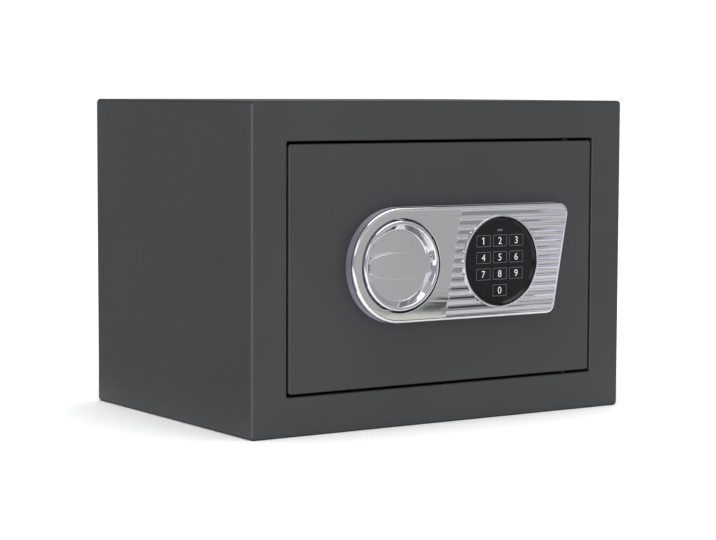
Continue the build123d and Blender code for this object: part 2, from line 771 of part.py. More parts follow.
with BuildPart() as keypad_cup:
    with BuildSketch(facing(0, x=keypad_x)):
        Circle(cup_radius)
        Circle(lead_hole_radius, mode=Mode.SUBTRACT)
    extrude(amount=cup_floor)
    with BuildSketch(facing(-cup_floor, x=keypad_x)):
        Circle(cup_radius)
        Circle(cup_radius - plate_wall, mode=Mode.SUBTRACT)
    extrude(amount=face_front - face_sheet - cup_floor)
    with BuildSketch(facing(-cup_floor, x=keypad_x)):
        with PolarLocations(cup_post_circle, 3, start_angle=90):
            Circle(cup_post_radius)
    extrude(amount=board_front - board_sheet - cup_floor)
keypad_cup.part.label = "keypad_cup"
export_step(keypad_cup.part, "parts/keypad_cup.step")

with BuildPart() as keypad_board:
    with BuildSketch(facing(board_sheet - board_front, x=keypad_x)):
        Circle(cup_radius - plate_wall - board_clearance)
    extrude(amount=board_sheet)
keypad_board.part.label = "keypad_board"
export_step(keypad_board.part, "parts/keypad_board.step")

with BuildPart() as key_mat:
    with BuildSketch(facing(-board_front, x=keypad_x)):
        Circle(mat_radius)
        with Locations((0, led_height)):
            Rectangle(led_width + mat_sheet, led_thickness + mat_sheet, mode=Mode.SUBTRACT)
    extrude(amount=mat_sheet)
    with BuildSketch(facing(-board_front - mat_sheet, x=keypad_x)):
        with Locations(*key_spots.values()):
            RectangleRounded(dome_width, dome_height, dome_corner)
    extrude(amount=mat_front - board_front - mat_sheet)
key_mat.part.label = "key_mat"
export_step(key_mat.part, "parts/key_mat.step")

with BuildPart() as keypad_face:
    with BuildSketch(facing(face_sheet - face_front, x=keypad_x)):
        Circle(face_radius)
        with Locations(*key_spots.values()):
            RectangleRounded(
                key_width + 2 * key_clearance,
                key_height + 2 * key_clearance,
                key_corner + key_clearance,
                mode=Mode.SUBTRACT,
            )
        with Locations((0, led_height)):
            Rectangle(led_width, led_thickness, mode=Mode.SUBTRACT)
    extrude(amount=face_sheet)
    with BuildSketch(facing(-face_front, x=keypad_x)):
        Circle(face_radius)
        Circle(face_radius - face_rim_width, mode=Mode.SUBTRACT)
        with PolarLocations(face_radius, 2, start_angle=90):
            Circle(notch_radius, mode=Mode.SUBTRACT)
    extrude(amount=face_rim_front - face_front)
    fillet(outer_front_edges(keypad_face), face_rim_radius)
keypad_face.part.label = "keypad_face"
export_step(keypad_face.part, "parts/keypad_face.step")

with BuildPart() as status_led:
    with BuildSketch(facing(-board_front, x=keypad_x, z=led_height)):
        Rectangle(led_width, led_thickness)
    extrude(amount=face_front - board_front)
status_led.part.label = "status_led"
export_step(status_led.part, "parts/status_led.step")

with BuildPart() as keypad_bezel:
    with BuildSketch(turned(keypad_x)):
        with BuildLine():
            Polyline(
                (cup_radius, bezel_back),
                (bezel_radius, bezel_back),
                (bezel_radius, bezel_front - bezel_bevel),
                (bezel_radius - bezel_bevel, bezel_front),
                (bezel_radius - bezel_bevel - bezel_land, bezel_front),
                (cup_radius, face_rim_front),
                (cup_radius, bezel_back),
            )
        make_face()
    revolve(axis=turning_axis(keypad_x))
keypad_bezel.part.label = "keypad_bezel"
export_step(keypad_bezel.part, "parts/keypad_bezel.step")

# Ten keys: a cap in the face's window with a wider flange behind it that keeps it in
for digit, (x, z) in key_spots.items():
    face_back = face_front - face_sheet
    with BuildPart() as key:
        with BuildSketch(facing(-face_back, x=keypad_x + x, z=z)):
            RectangleRounded(key_width, key_height, key_corner)
        extrude(amount=face_sheet + key_proud)
        chamfer(outer_front_edges(key), key_chamfer)
        with BuildSketch(facing(key_flange - face_back, x=keypad_x + x, z=z)):
            Rectangle(key_width + 2 * key_flange_reach, key_height + 2 * key_flange_reach)
        extrude(amount=key_flange)
    key.part.label = f"key_{digit}"
    export_step(key.part, f"parts/key_{digit}.step")

# Inner cover: a steel sheet over the bolt work, cut for the battery box and the reset button
battery_x = 66.0
box_width = 64.0
box_height = 60.0
reset_x = 118.0
reset_z = -50.0
reset_radius = 4.0
cover_sheet = 1.5
cover_margin = 1.5
cover_corner = 4.0
cover_screw_reach = 5.0
cover_back = pan_back + cover_sheet
with BuildPart() as inner_cover:
    with BuildSketch(facing(pan_back, x=pan_middle)):
        RectangleRounded(pan_width - 2 * cover_margin, pan_height - 2 * cover_margin, cover_corner)
        with GridLocations(cover_screw_spacing_x, cover_screw_spacing_z, 3, 2):
            Circle(screw_radius, mode=Mode.SUBTRACT)
    extrude(amount=-cover_sheet)
    with BuildSketch(facing(pan_back)):
        with Locations((battery_x, 0)):
            Rectangle(box_width, box_height)
        with Locations((reset_x, reset_z)):
            Circle(reset_radius + hole_clearance)
    extrude(amount=-cover_sheet, mode=Mode.SUBTRACT)
inner_cover.part.label = "inner_cover"
export_step(inner_cover.part, "parts/inner_cover.step")

with BuildPart() as cover_screws:
    with BuildSketch(facing(cover_back, x=pan_middle)):
        with GridLocations(cover_screw_spacing_x, cover_screw_spacing_z, 3, 2):
            Circle(head_radius)
    extrude(amount=-head_height)
    fillet(cover_screws.faces().filter_by(Axis.Y).sort_by(Axis.Y)[-6:].edges(), head_round)
    with BuildSketch(facing(cover_back, x=pan_middle)):
        with GridLocations(cover_screw_spacing_x, cover_screw_spacing_z, 3, 2):
            Circle(screw_radius)
    extrude(amount=cover_screw_reach)
cover_screws.part.label = "cover_screws"
export_step(cover_screws.part, "parts/cover_screws.step")

# Battery box: a moulded tray through the cover, with a flange and two rails that the lid slides in
box_front = 28.0
box_wall = 1.6
rim_sheet = 1.6
rim_width = 72.0
rim_height = 72.0
rim_corner = 3.0
rail_length = 66.0
rail_height = 3.4
rail_wall = 2.0
lip_sheet = 0.9
lip_reach = 1.6
lid_sheet = 2.2
lid_gap = 0.1
cell_count = 4
cell_radius = 7.1
cell_length = 49.0
cell_pitch = 15.0
cell_cap_radius = 2.6
cell_cap_height = 1.3
cell_clearance = 0.2
with BuildPart() as battery_box:
    with BuildSketch(facing(box_front, x=battery_x)):
        RectangleRounded(box_width, box_height, box_wall)
    extrude(amount=box_front - cover_back)
    with BuildSketch(facing(cover_back, x=battery_x)):
        RectangleRounded(rim_width, rim_height, rim_corner)
    extrude(amount=-rim_sheet)
    with BuildSketch(facing(box_front + box_wall, x=battery_x)):
        Rectangle(box_width - 2 * box_wall, box_height - 2 * box_wall)
    extrude(amount=box_front + box_wall - cover_back - rim_sheet, mode=Mode.SUBTRACT)
    rim_back = cover_back + rim_sheet
    with BuildSketch(facing(rim_back, x=battery_x)):
        with GridLocations(0, rim_height - rail_wall, 1, 2):
            Rectangle(rail_length, rail_wall)
    extrude(amount=-rail_height)
    with BuildSketch(facing(rim_back + rail_height - lip_sheet, x=battery_x)):
        with GridLocations(0, rim_height - rail_wall - lip_reach, 1, 2):
            Rectangle(rail_length, rail_wall + lip_reach)
    extrude(amount=-lip_sheet)
battery_box.part.label = "battery_box"
export_step(battery_box.part, "parts/battery_box.step")

# Four cells side by side, each a can with a raised cap at alternate ends
cell_y = front_y + box_front + box_wall + cell_radius + cell_clearance
with BuildPart() as battery_cells:
    for number in range(cell_count):
        way = 1 if number % 2 else -1
        cell_x = battery_x + (number - (cell_count - 1) / 2) * cell_pitch
        can_start = (cell_x, cell_y, mid_height - way * cell_length / 2)
        cap_start = (cell_x, cell_y, mid_height + way * cell_length / 2)
        with BuildSketch(Plane(origin=can_start, z_dir=(0, 0, way))):
            Circle(cell_radius)
        extrude(amount=cell_length)
        with BuildSketch(Plane(origin=cap_start, z_dir=(0, 0, way))):
            Circle(cell_cap_radius)
        extrude(amount=cell_cap_height)
battery_cells.part.label = "battery_cells"
export_step(battery_cells.part, "parts/battery_cells.step")

# Contacts in the battery box: a strip on the end wall behind each end of each cell, with a dimple that
# meets a cap or a tapered spring that presses on a can
contact_sheet = 0.5
contact_width = 12.0
contact_height = 11.0
dimple_radius = 2.2
spring_wall_radius = 3.8
spring_tip_radius = 2.6
end_wall = box_height / 2 - box_wall
with BuildPart() as battery_contacts:
    for number in range(cell_count):
        cell_x = battery_x + (number - (cell_count - 1) / 2) * cell_pitch
        for side in (-1, 1):
            meets_cap = side == (1 if number % 2 else -1)
            reach = cell_length / 2 + (cell_cap_height if meets_cap else 0)
            strip_face = end_wall - contact_sheet
            strip_start = (cell_x, cell_y, mid_height + side * end_wall)
            press_start = (cell_x, cell_y, mid_height + side * strip_face)
            with BuildSketch(Plane(origin=strip_start, z_dir=(0, 0, -side))):
                Rectangle(contact_width, contact_height)
            extrude(amount=contact_sheet)
            with BuildSketch(Plane(origin=press_start, z_dir=(0, 0, -side))):
                Circle(dimple_radius if meets_cap else spring_wall_radius)
            with BuildSketch(Plane(origin=press_start, z_dir=(0, 0, -side)).offset(strip_face - reach)):
                Circle(dimple_radius if meets_cap else spring_tip_radius)
            loft()
battery_contacts.part.label = "battery_contacts"
export_step(battery_contacts.part, "parts/battery_contacts.step")

# Battery lid: slides sideways off its rails, with a ribbed thumb pad
lid_side_gap = 0.3
lid_width = 68.0
lid_height = rim_height - 2 * (rail_wall + lid_side_gap)
lid_front = cover_back + rim_sheet + lid_gap
lid_tongue = rail_height - lip_sheet - 2 * lid_gap
lid_step = lid_front + lid_tongue
lid_back = lid_step + lid_sheet / 2
grip_count = 5
grip_pitch = 3.0
grip_width = 1.2
grip_length = 26.0
grip_rise = 0.8
grip_from_edge = 12.0
with BuildPart() as battery_lid:
    with BuildSketch(facing(lid_front, x=battery_x)):
        Rectangle(lid_width, lid_height)
    extrude(amount=lid_front - lid_step)
    with BuildSketch(facing(lid_step, x=battery_x)):
        Rectangle(lid_width, lid_height - 2 * (lip_reach + lid_side_gap))
    extrude(amount=lid_step - lid_back)
    with BuildSketch(facing(lid_back, x=battery_x)):
        with Locations((grip_from_edge - lid_width / 2, 0)):
            with GridLocations(grip_pitch, 0, grip_count, 1):
                Rectangle(grip_width, grip_length)
    extrude(amount=-grip_rise)
battery_lid.part.label = "battery_lid"
export_step(battery_lid.part, "parts/battery_lid.step")

# Code reset button in the inner cover, and the small switch board behind it
reset_travel = 0.8
reset_stem_radius = 2.0
reset_collar = 1.2
reset_collar_sheet = 1.4
reset_proud = 2.0
switch_back = 39.0
switch_width = 6.0
reset_board_front = 33.6
reset_board_width = 22.0
reset_board_height = 26.0
reset_post_spacing = 20.0
reset_post_radius = 2.2
reset_board_corner = 1.5
with BuildPart() as reset_button:
    collar_back = pan_back - slide_clearance
    collar_front = collar_back - reset_collar_sheet
    button_back = cover_back + reset_proud
    for start, stop, radius in (
        (switch_back + reset_travel + running_clearance, collar_front, reset_stem_radius),
        (collar_front, collar_back, reset_radius + reset_collar),
        (collar_back, button_back, reset_radius),
    ):
        with BuildSketch(facing(start, x=reset_x, z=reset_z)):
            Circle(radius)
        extrude(amount=start - stop)
    fillet(reset_button.faces().filter_by(Axis.Y).sort_by(Axis.Y)[-1].edges(), reset_travel)
reset_button.part.label = "reset_button"
export_step(reset_button.part, "parts/reset_button.step")

with BuildPart() as reset_board:
    with BuildSketch(facing(reset_board_front, x=reset_x, z=reset_z)):
        RectangleRounded(reset_board_width, reset_board_height, reset_board_corner)
    extrude(amount=-board_sheet)
    with BuildSketch(facing(reset_board_front + board_sheet, x=reset_x, z=reset_z)):
        Rectangle(switch_width, switch_width)
    extrude(amount=reset_board_front + board_sheet - switch_back)
    with BuildSketch(facing(reset_board_front + board_sheet, x=reset_x, z=reset_z)):
        with GridLocations(0, reset_post_spacing, 1, 2):
            Circle(reset_post_radius)
    extrude(amount=reset_board_front + board_sheet - pan_back)
reset_board.part.label = "reset_board"
export_step(reset_board.part, "parts/reset_board.step")
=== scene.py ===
import bmesh
import bpy
import json
import math
from mathutils import Matrix, Vector
from mathutils.geometry import tessellate_polygon

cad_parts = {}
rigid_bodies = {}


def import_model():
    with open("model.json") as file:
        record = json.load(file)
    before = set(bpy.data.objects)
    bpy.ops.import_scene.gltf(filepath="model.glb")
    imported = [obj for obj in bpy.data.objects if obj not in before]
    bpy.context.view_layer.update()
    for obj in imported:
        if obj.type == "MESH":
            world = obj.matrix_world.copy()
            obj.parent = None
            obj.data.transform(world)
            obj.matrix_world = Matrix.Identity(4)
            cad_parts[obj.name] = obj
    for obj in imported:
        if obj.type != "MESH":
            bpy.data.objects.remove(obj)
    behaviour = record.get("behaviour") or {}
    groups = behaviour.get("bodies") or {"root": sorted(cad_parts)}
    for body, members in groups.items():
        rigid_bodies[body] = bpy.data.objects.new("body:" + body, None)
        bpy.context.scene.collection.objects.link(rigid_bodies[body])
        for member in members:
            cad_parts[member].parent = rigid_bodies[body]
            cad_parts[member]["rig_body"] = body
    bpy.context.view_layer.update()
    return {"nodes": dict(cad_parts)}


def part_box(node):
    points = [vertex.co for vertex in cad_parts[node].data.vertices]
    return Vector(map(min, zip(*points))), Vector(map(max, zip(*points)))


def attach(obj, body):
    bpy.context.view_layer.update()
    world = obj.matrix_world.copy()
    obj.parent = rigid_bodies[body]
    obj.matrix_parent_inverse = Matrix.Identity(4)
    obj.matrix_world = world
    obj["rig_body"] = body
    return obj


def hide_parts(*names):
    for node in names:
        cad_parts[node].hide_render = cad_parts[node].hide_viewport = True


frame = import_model()
mm = 0.001


# Photographer's view: a long lens from the left front, a little above the cabinet's top. The place
# and the turn of the camera come from the corners of the cabinet and its door gap in the photograph.
def new_object(name, data):
    """Puts a new object with the given data in the scene."""
    made = bpy.data.objects.new(name, data)
    scene.collection.objects.link(made)
    return made


scene = bpy.context.scene
camera_place = (-0.975, -1.471, 0.258)
camera_yaw = -33.57
camera_pitch = 4.79
camera_roll = 0.21
camera_data = bpy.data.cameras.new("camera")
camera_data.sensor_width = 36.0
camera_data.lens = 108.1
camera = new_object("camera", camera_data)
camera_turn = Matrix.Rotation(math.radians(camera_yaw), 4, "Z")
camera_tilt = Matrix.Rotation(math.radians(90 - camera_pitch), 4, "X")
camera_lean = Matrix.Rotation(math.radians(camera_roll), 4, "Z")
camera.matrix_world = Matrix.Translation(camera_place) @ camera_turn @ camera_tilt @ camera_lean
scene.camera = camera


# Studio: a white floor and two soft boxes in white light from all round. Cards that only glossy
# surfaces see give the chrome its greys: the walls of a grey room, lighter high in front, and on the
# floor a grey sheet with a dark edge, a light one to its right and darker ones close to the safe.
def linear(hex_colour):
    """An sRGB hex colour as the linear colour that a shader socket takes."""
    channels = [int(hex_colour[i:i + 2], 16) / 255 for i in (1, 3, 5)]
    return [c / 12.92 if c <= 0.04045 else ((c + 0.055) / 1.055) ** 2.4 for c in channels] + [1.0]


def add_node(tree, kind, inputs=None, **settings):
    """Adds a node. An input that is given a socket is linked to it, and any other value is set."""
    node = tree.nodes.new(kind)
    for name, value in settings.items():
        setattr(node, name, value)
    for name, value in (inputs or {}).items():
        if isinstance(value, bpy.types.NodeSocket):
            tree.links.new(value, node.inputs[name])
        else:
            node.inputs[name].default_value = value
    return node


def new_material(name, sockets):
    """A material with one Principled shader, whose constant values are set on its own sockets."""
    material = bpy.data.materials.new(name)
    material.use_nodes = True
    shader = material.node_tree.nodes["Principled BSDF"]
    for socket, value in sockets.items():
        shader.inputs[socket].default_value = value
    return material, material.node_tree, shader


def studio_sheet(name, corners, sockets):
    """A flat sheet of the studio through its corners."""
    mesh = bpy.data.meshes.new(name)
    mesh.from_pydata(corners, [], [tuple(range(len(corners)))])
    mesh.materials.append(new_material(name + "_paint", {"Specular IOR Level": 0.0, **sockets})[0])
    made = new_object(name, mesh)
    return made


def rectangle(left, near, right, far):
    """The four corners of a rectangle."""
    return [(left, near), (right, near), (right, far), (left, far)]


def reflected_card(name, corners, hex_colour):
    """A glowing card that shows in reflections, and neither to the camera nor as light or shadow."""
    card = studio_sheet(name, corners, {
        "Base Color": linear("#000000"), "Emission Color": linear(hex_colour), "Emission Strength": 1.0,
    })
    card.visible_camera = False
    card.visible_diffuse = False
    card.visible_shadow = False


def floor_card(name, layer, corners, hex_colour):
    """A card on the floor, in a layer above the cards that it covers."""
    reflected_card(name, [(x, y, layer * card_lift) for x, y in corners], hex_colour)


def soft_box(name, place, target, width, height, power):
    """A round or oval area light that points at the target."""
    light = bpy.data.lights.new(name, "AREA")
    light.shape = "ELLIPSE"
    light.size = width
    light.size_y = height
    light.energy = power
    lamp = new_object(name, light)
    aim = (Vector(target) - Vector(place)).to_track_quat("-Z", "Y")
    lamp.matrix_world = Matrix.Translation(place) @ aim.to_matrix().to_4x4()


room_white = 1.08
world = bpy.data.worlds.new("studio")
scene.world = world
world.use_nodes = True
world.node_tree.nodes["Background"].inputs["Color"].default_value = linear("#FFFFFF")
world.node_tree.nodes["Background"].inputs["Strength"].default_value = room_white
scene.view_settings.view_transform = "Standard"

floor_half = 40.0
studio_sheet(
    "floor", [(x, y, 0) for x, y in rectangle(-floor_half, -floor_half, floor_half, floor_half)],
    {"Base Color": linear("#FBFBFB"), "Roughness": 0.95},
)

room_half = 7.0
room_height = 5.0
glow_y = 0.1 - room_half
glow_bottom = 1.3
glow_top = 3.1
room_corners = rectangle(-room_half, -room_half, room_half, room_half)
wall_greys = {"front": "#B2B2B4", "right": "#B2B2B4", "back": "#B2B2B4", "left": "#9D9EAA"}
for (side, grey), start, end in zip(wall_greys.items(), room_corners, room_corners[1:] + room_corners[:1]):
    reflected_card(f"{side}_card", [
        (*start, 0), (*end, 0), (*end, room_height), (*start, room_height)
    ], grey)
reflected_card("high_front_card", [
    (x, glow_y, z) for x, z in rectangle(-room_half, glow_bottom, room_half, glow_top)
], "#DCDCDC")
reflected_card("ceiling_card", [(*corner, room_height) for corner in room_corners], "#B9B9BA")

card_lift = 3 * mm
card_near = -0.79
card_far = -6.65
card_corner = 0.45
card_far_corner = 6.66
floor_reach = 0.99 * room_half
near_edge = 0.012
side_edge = 0.03
apron_near = -0.232
apron_dark = -0.275
apron_far = -0.64
apron_split = 0.16
apron_right = 0.52
apron_bend = (0.26, -0.31)
apron_tip = [(0.61, -0.94), (0.62, -0.86)]
side_gap = 0.2
left_near = -0.25
floor_card("floor_card", 1, [
    (-floor_reach, card_near), (-floor_reach, card_far),
    (card_far_corner, card_far), (card_corner, card_near),
], "#B7B7B7")
floor_card("bright_card", 1, [
    (card_corner, card_near), (card_far_corner, card_far), (card_far_corner, 0), (card_corner, 0),
], "#EAEAF8")
floor_card("apron_card", 2, [
    (0, apron_far), (apron_right, apron_far), apron_bend, (apron_split, apron_dark), (0, apron_dark),
], "#96969A")
floor_card("apron_near_card", 2, rectangle(0, apron_dark, apron_split, apron_near), "#3C3C40")
floor_card("apron_right_card", 2, [
    (apron_split, apron_dark), apron_bend, (apron_right, apron_far), (apron_right, apron_near),
    (apron_split, apron_near),
], "#C0C0C8")
floor_card("apron_corner_card", 2, [
    (card_corner, card_near), *apron_tip, (apron_right, apron_far), (card_corner - side_edge, apron_far),
], "#88888C")
floor_card("apron_edge_card", 1, rectangle(0, card_near, card_corner, apron_far), "#E0E0D4")
floor_card("left_floor_card", 1, rectangle(-floor_reach, left_near, -side_gap, floor_reach), "#A4A4A8")
floor_card("right_floor_card", 1, [
    (side_gap, 0), (floor_reach, 0), (floor_reach, floor_reach), (-side_gap, floor_reach),
], "#8A8A8E")
floor_card("floor_card_edge", 3, [
    (0, card_near), (card_corner, card_near + near_edge), (card_corner + near_edge, card_near),
    (card_far_corner, card_far), (card_corner - side_edge, card_near),
], "#2C2C30")
safe_middle = (0, 0, 0.12)
soft_box("key_box", (-1.7, -1.5, 1.1), safe_middle, width=1.0, height=1.1, power=3.5)
soft_box("top_box", (0.2, -0.2, 2.4), safe_middle, width=2.6, height=2.6, power=27)


# Cabinet: a front frame with a folded return, one sheet bent round the four sides and a pressed back, of
# sheet steel, welded and ground flush. The graphite powder coat is baked on: satin, with a fine orange
# peel that keeps it from mirroring. Its colour has a painted highlight over the upright edges and painted
# shade over the level ones.
def noise(tree, size, detail=2.0, stretch=(1, 1, 1)):
    """Noise over the piece's own coordinates, with features of about the given size in metres."""
    place = add_node(tree, "ShaderNodeTexCoord")
    scaled = add_node(tree, "ShaderNodeMapping", {"Vector": place.outputs["Object"], "Scale": stretch})
    made = add_node(tree, "ShaderNodeTexNoise", {
        "Vector": scaled.outputs["Vector"], "Scale": 1 / size, "Detail": detail, "Roughness": 0.5,
    })
    return made.outputs["Fac"]


def moved(tree, value, start, end, low, high):
    """Moves a value from the range between start and end into the one between low and high."""
    return add_node(tree, "ShaderNodeMapRange", {
        "Value": value, "From Min": start, "From Max": end, "To Min": low, "To Max": high,
    }).outputs["Result"]


def between(tree, factor, low, high):
    """Turns noise into a range of values or of hex colours."""
    if not isinstance(low, str):
        return moved(tree, factor, *noise_range, low, high)
    ramp = add_node(tree, "ShaderNodeValToRGB", {"Fac": factor})
    for stop, position, colour in zip(ramp.color_ramp.elements, noise_range, (low, high)):
        stop.position = position
        stop.color = linear(colour)
    return ramp.outputs["Color"]


def bump(tree, shader, height, depth):
    """Raises the shader's surface by a height from 0 to 1, times the depth in metres."""
    made = add_node(tree, "ShaderNodeBump", {"Height": height, "Distance": depth})
    tree.links.new(made.outputs["Normal"], shader.inputs["Normal"])


noise_range = (0.3, 0.7)
weld = 0.002 * mm


def shown(name, mesh, node):
    """Shows a mesh as a piece that stands for a CAD node and rides on its body; the node is hidden."""
    piece = new_object(name, mesh)
    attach(piece, frame["nodes"][node]["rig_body"])
    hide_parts(node)
    return piece


def smooth(piece, crease=32):
    """Shades a piece smooth, with hard edges past the crease, and lets its flat faces stay flat."""
    piece.data.shade_smooth()
    piece.data.set_sharp_from_angle(angle=math.radians(crease))
    weighted = piece.modifiers.new("flat_faces", "WEIGHTED_NORMAL")
    weighted.keep_sharp = True


def finished(node, material, edge=0.0):
    """A merged copy of a CAD node that stands for it, smooth where the real piece is, with its
    sharp edges broken by the edge radius."""
    work = bmesh.new()
    work.from_mesh(frame["nodes"][node].data)
    bmesh.ops.remove_doubles(work, verts=work.verts, dist=weld)
    bmesh.ops.dissolve_limit(work, angle_limit=math.radians(0.5), verts=work.verts, edges=work.edges)
    mesh = bpy.data.meshes.new(node + "_mesh")
    work.to_mesh(mesh)
    work.free()
    if "custom_normal" in mesh.attributes:
        mesh.attributes.remove(mesh.attributes["custom_normal"])
    mesh.materials.clear()
    mesh.materials.append(material)
    piece = shown(node + "_piece", mesh, node)
    if edge:
        broken = piece.modifiers.new("broken_edges", "BEVEL")
        broken.width = edge
        broken.segments = 2
        broken.limit_method = "ANGLE"
        broken.angle_limit = math.radians(40)
        broken.harden_normals = True
    smooth(piece)


powder_coat, tree, shader = new_material(
    "graphite_powder_coat", {"IOR": 1.5, "Specular IOR Level": 0.4}
)
peel = noise(tree, 1.6 * mm, 3.0)
clouds = noise(tree, 70 * mm, 2.0)
facing = add_node(tree, "ShaderNodeTexCoord").outputs["Normal"]
# The fourth powers of a normal's parts add up to 1 on a flat side and to less on a rounded edge.
squared = add_node(tree, "ShaderNodeVectorMath", {0: facing, 1: facing}, operation="MULTIPLY").outputs[0]
flatness = add_node(tree, "ShaderNodeVectorMath", {0: squared, 1: squared}, operation="DOT_PRODUCT")
edge_rounding = moved(tree, flatness.outputs["Value"], start=0.6, end=0.98, low=0.6, high=0.0)
upward = add_node(tree, "ShaderNodeSeparateXYZ", {"Vector": facing}).outputs["Z"]
level = add_node(tree, "ShaderNodeMath", {0: upward}, operation="ABSOLUTE")
painted_light_by_tilt = moved(tree, level.outputs[0], start=0.05, end=0.3, low=1.0, high=-0.5)
# The tone is over 0 on upright edges, a painted highlight, and under 0 on level ones, painted shade.
painted_edge_light = add_node(tree, "ShaderNodeMath", {0: edge_rounding, 1: painted_light_by_tilt}, operation="MULTIPLY").outputs[0]
coat_and_painted_highlight = add_node(tree, "ShaderNodeMix", {
    "Factor": painted_edge_light, "A": between(tree, clouds, "#353638", "#38393B"), "B": linear("#58595C"),
}, data_type="RGBA")
# Painted shade: the level edges are mixed towards a near black grey.
painted_edge_shade = add_node(tree, "ShaderNodeMath", {0: painted_edge_light, 1: -3.0}, operation="MULTIPLY", use_clamp=True)
coat_colour = add_node(tree, "ShaderNodeMix", {
    "Factor": painted_edge_shade.outputs[0], "A": coat_and_painted_highlight.outputs["Result"], "B": linear("#1E1F20"),
}, data_type="RGBA")
tree.links.new(coat_colour.outputs["Result"], shader.inputs["Base Color"])
tree.links.new(between(tree, peel, 0.46, 0.58), shader.inputs["Roughness"])
bump(tree, shader, peel, 0.018 * mm)
for node in ("front_frame", "body_wrap", "back_panel"):
    finished(node, powder_coat)
finished("stop_tabs", powder_coat, 0.3 * mm)


# Pivots: a stiffening plate behind the frame's return and a bored block in the door, both coated with
# the sheet that they are welded to, a headed steel pin with bright zinc plating, a dull silver that
# is cloudy from the bath, and a turned spacer of black nylon, with a soft waxy shine.
def mottled(name, colours, rough, clouds, grain, depth=0.0, sockets=None, stretch=(1, 1, 1)):
    """A material whose colour varies in clouds, and whose roughness and height vary by its grain."""
    material, tree, shader = new_material(name, sockets or {})
    tree.links.new(between(tree, noise(tree, clouds, 3.0), *colours), shader.inputs["Base Color"])
    fine = noise(tree, grain, 3.0, stretch)
    tree.links.new(between(tree, fine, *rough), shader.inputs["Roughness"])
    if depth:
        bump(tree, shader, fine, depth)
    return material


zinc_plate = mottled(
    "zinc_plated_steel", ("#A9ADB0", "#C6C7C4"), (0.28, 0.42), 14 * mm, 1.2 * mm, 0.005 * mm,
    {"Metallic": 1.0}, (1, 1, 14),
)
black_nylon = mottled(
    "black_nylon", ("#121214", "#1B1B1D"), (0.42, 0.56), 3 * mm, 2 * mm, 0.01 * mm, {"IOR": 1.53}
)
for end in ("upper", "lower"):
    finished(f"hinge_plate_{end}", powder_coat, 0.3 * mm)
    finished(f"hinge_pin_{end}", zinc_plate, 0.2 * mm)
    finished(f"hinge_spacer_{end}", black_nylon, 0.2 * mm)
    finished(f"hinge_block_{end}", powder_coat, 0.4 * mm)

# Door: a 4 mm plate, its edges rounded by grinding, and a folded channel welded behind it. Both are
# coated with the cabinet's powder.
finished("door_plate", powder_coat)
finished("door_pan", powder_coat, 0.25 * mm)

# Bolt work: two bolts turned from bar and nickel plated, bright with the fine rings of the lathe, slide
# in flanged bushes of natural nylon, milky and a little translucent. Nuts hold the bolts on a zinc plated
# slide, which runs on four turned posts.
thread_pitch = 1.0 * mm
thread_depth = 0.35 * mm


def arc(centre, radius, start, end, steps=6):
    """Points of an arc about a centre, from one angle in degrees to another."""
    angles = [math.radians(start + (end - start) * k / steps) for k in range(steps + 1)]
    return [(centre[0] + radius * math.cos(a), centre[1] + radius * math.sin(a)) for a in angles]


def ridges(radius, start, stop, pitch=thread_pitch, depth=thread_depth):
    """Profile points of a row of ridges, such as a thread, from one height to another."""
    count = max(round(abs(stop - start) / pitch), 1)
    step = (stop - start) / count
    points = []
    for turn in range(count):
        points += [(radius - depth, start + turn * step), (radius, start + (turn + 0.5) * step)]
    return points + [(radius - depth, stop)]


def bridge(work, first, second):
    """Quads between two rings with as many points each."""
    count = len(first)
    for k in range(count):
        work.faces.new((first[k], first[(k + 1) % count], second[(k + 1) % count], second[k]))


def turned(work, profile, origin, axis=(0, -1, 0), segments=48):
    """Turns a closed profile of (radius, height) points round an axis through the origin."""
    axis = Vector(axis)
    across = axis.orthogonal().normalized()
    upward = axis.cross(across)
    rings = []
    for radius, height in profile:
        middle = Vector(origin) + height * axis
        spokes = [math.tau * k / segments for k in range(segments if radius else 1)]
        rings.append([
            work.verts.new(middle + radius * (math.cos(a) * across + math.sin(a) * upward)) for a in spokes
        ])
    for first, second in zip(rings, rings[1:] + rings[:1]):
        if len(first) == len(second) > 1:
            bridge(work, first, second)
        elif len(first) != len(second):
            tip, ring = (first[0], second) if len(first) == 1 else (second[0], first)
            for k in range(len(ring)):
                work.faces.new((tip, ring[k], ring[(k + 1) % len(ring)]))


def solid(name, build):
    """A mesh object made by a function that adds its faces to an empty bmesh."""
    work = bmesh.new()
    build(work)
    bmesh.ops.remove_doubles(work, verts=work.verts, dist=weld / 4)
    bmesh.ops.recalc_face_normals(work, faces=work.faces)
    mesh = bpy.data.meshes.new(name)
    work.to_mesh(mesh)
    work.free()
    return new_object(name, mesh)


def turned_solid(name, profile, origin, axis=(0, -1, 0), segments=48):
    """A mesh object turned from one profile."""
    return solid(name, lambda work: turned(work, profile, origin, axis, segments))


def middle_of(low, high):
    """The middle of a box between two corners."""
    return [(a + b) / 2 for a, b in zip(low, high)]


def baked(thing):
    """The plain mesh of an object and its modifiers; the object is used up."""
    bpy.context.view_layer.update()
    mesh = bpy.data.meshes.new_from_object(thing.evaluated_get(bpy.context.evaluated_depsgraph_get()))
    bpy.data.objects.remove(thing)
    return mesh


def carved(body, cuts=(), joins=(), common=()):
    """The mesh of a solid after it is kept inside others, joined to some and cut by some; all of
    them are used up."""
    if not (cuts or joins or common):
        mesh = body.data
        bpy.data.objects.remove(body)
        return mesh
    for operation, others in (("INTERSECT", common), ("UNION", joins), ("DIFFERENCE", cuts)):
        for other in others:
            step = body.modifiers.new(operation.lower(), "BOOLEAN")
            step.operation = operation
            step.solver = "EXACT"
            step.object = other
    mesh = baked(body)
    for other in [*cuts, *joins, *common]:
        bpy.data.objects.remove(other)
    return mesh


def dressed(node, mesh, *materials):
    """Gives a mesh its materials, of which each face keeps its choice, and shows it for its node."""
    choice = [face.material_index for face in mesh.polygons]
    mesh.materials.clear()
    for material in materials:
        mesh.materials.append(material)
    mesh.polygons.foreach_set("material_index", choice)
    piece = shown(node + "_piece", mesh, node)
    smooth(piece)


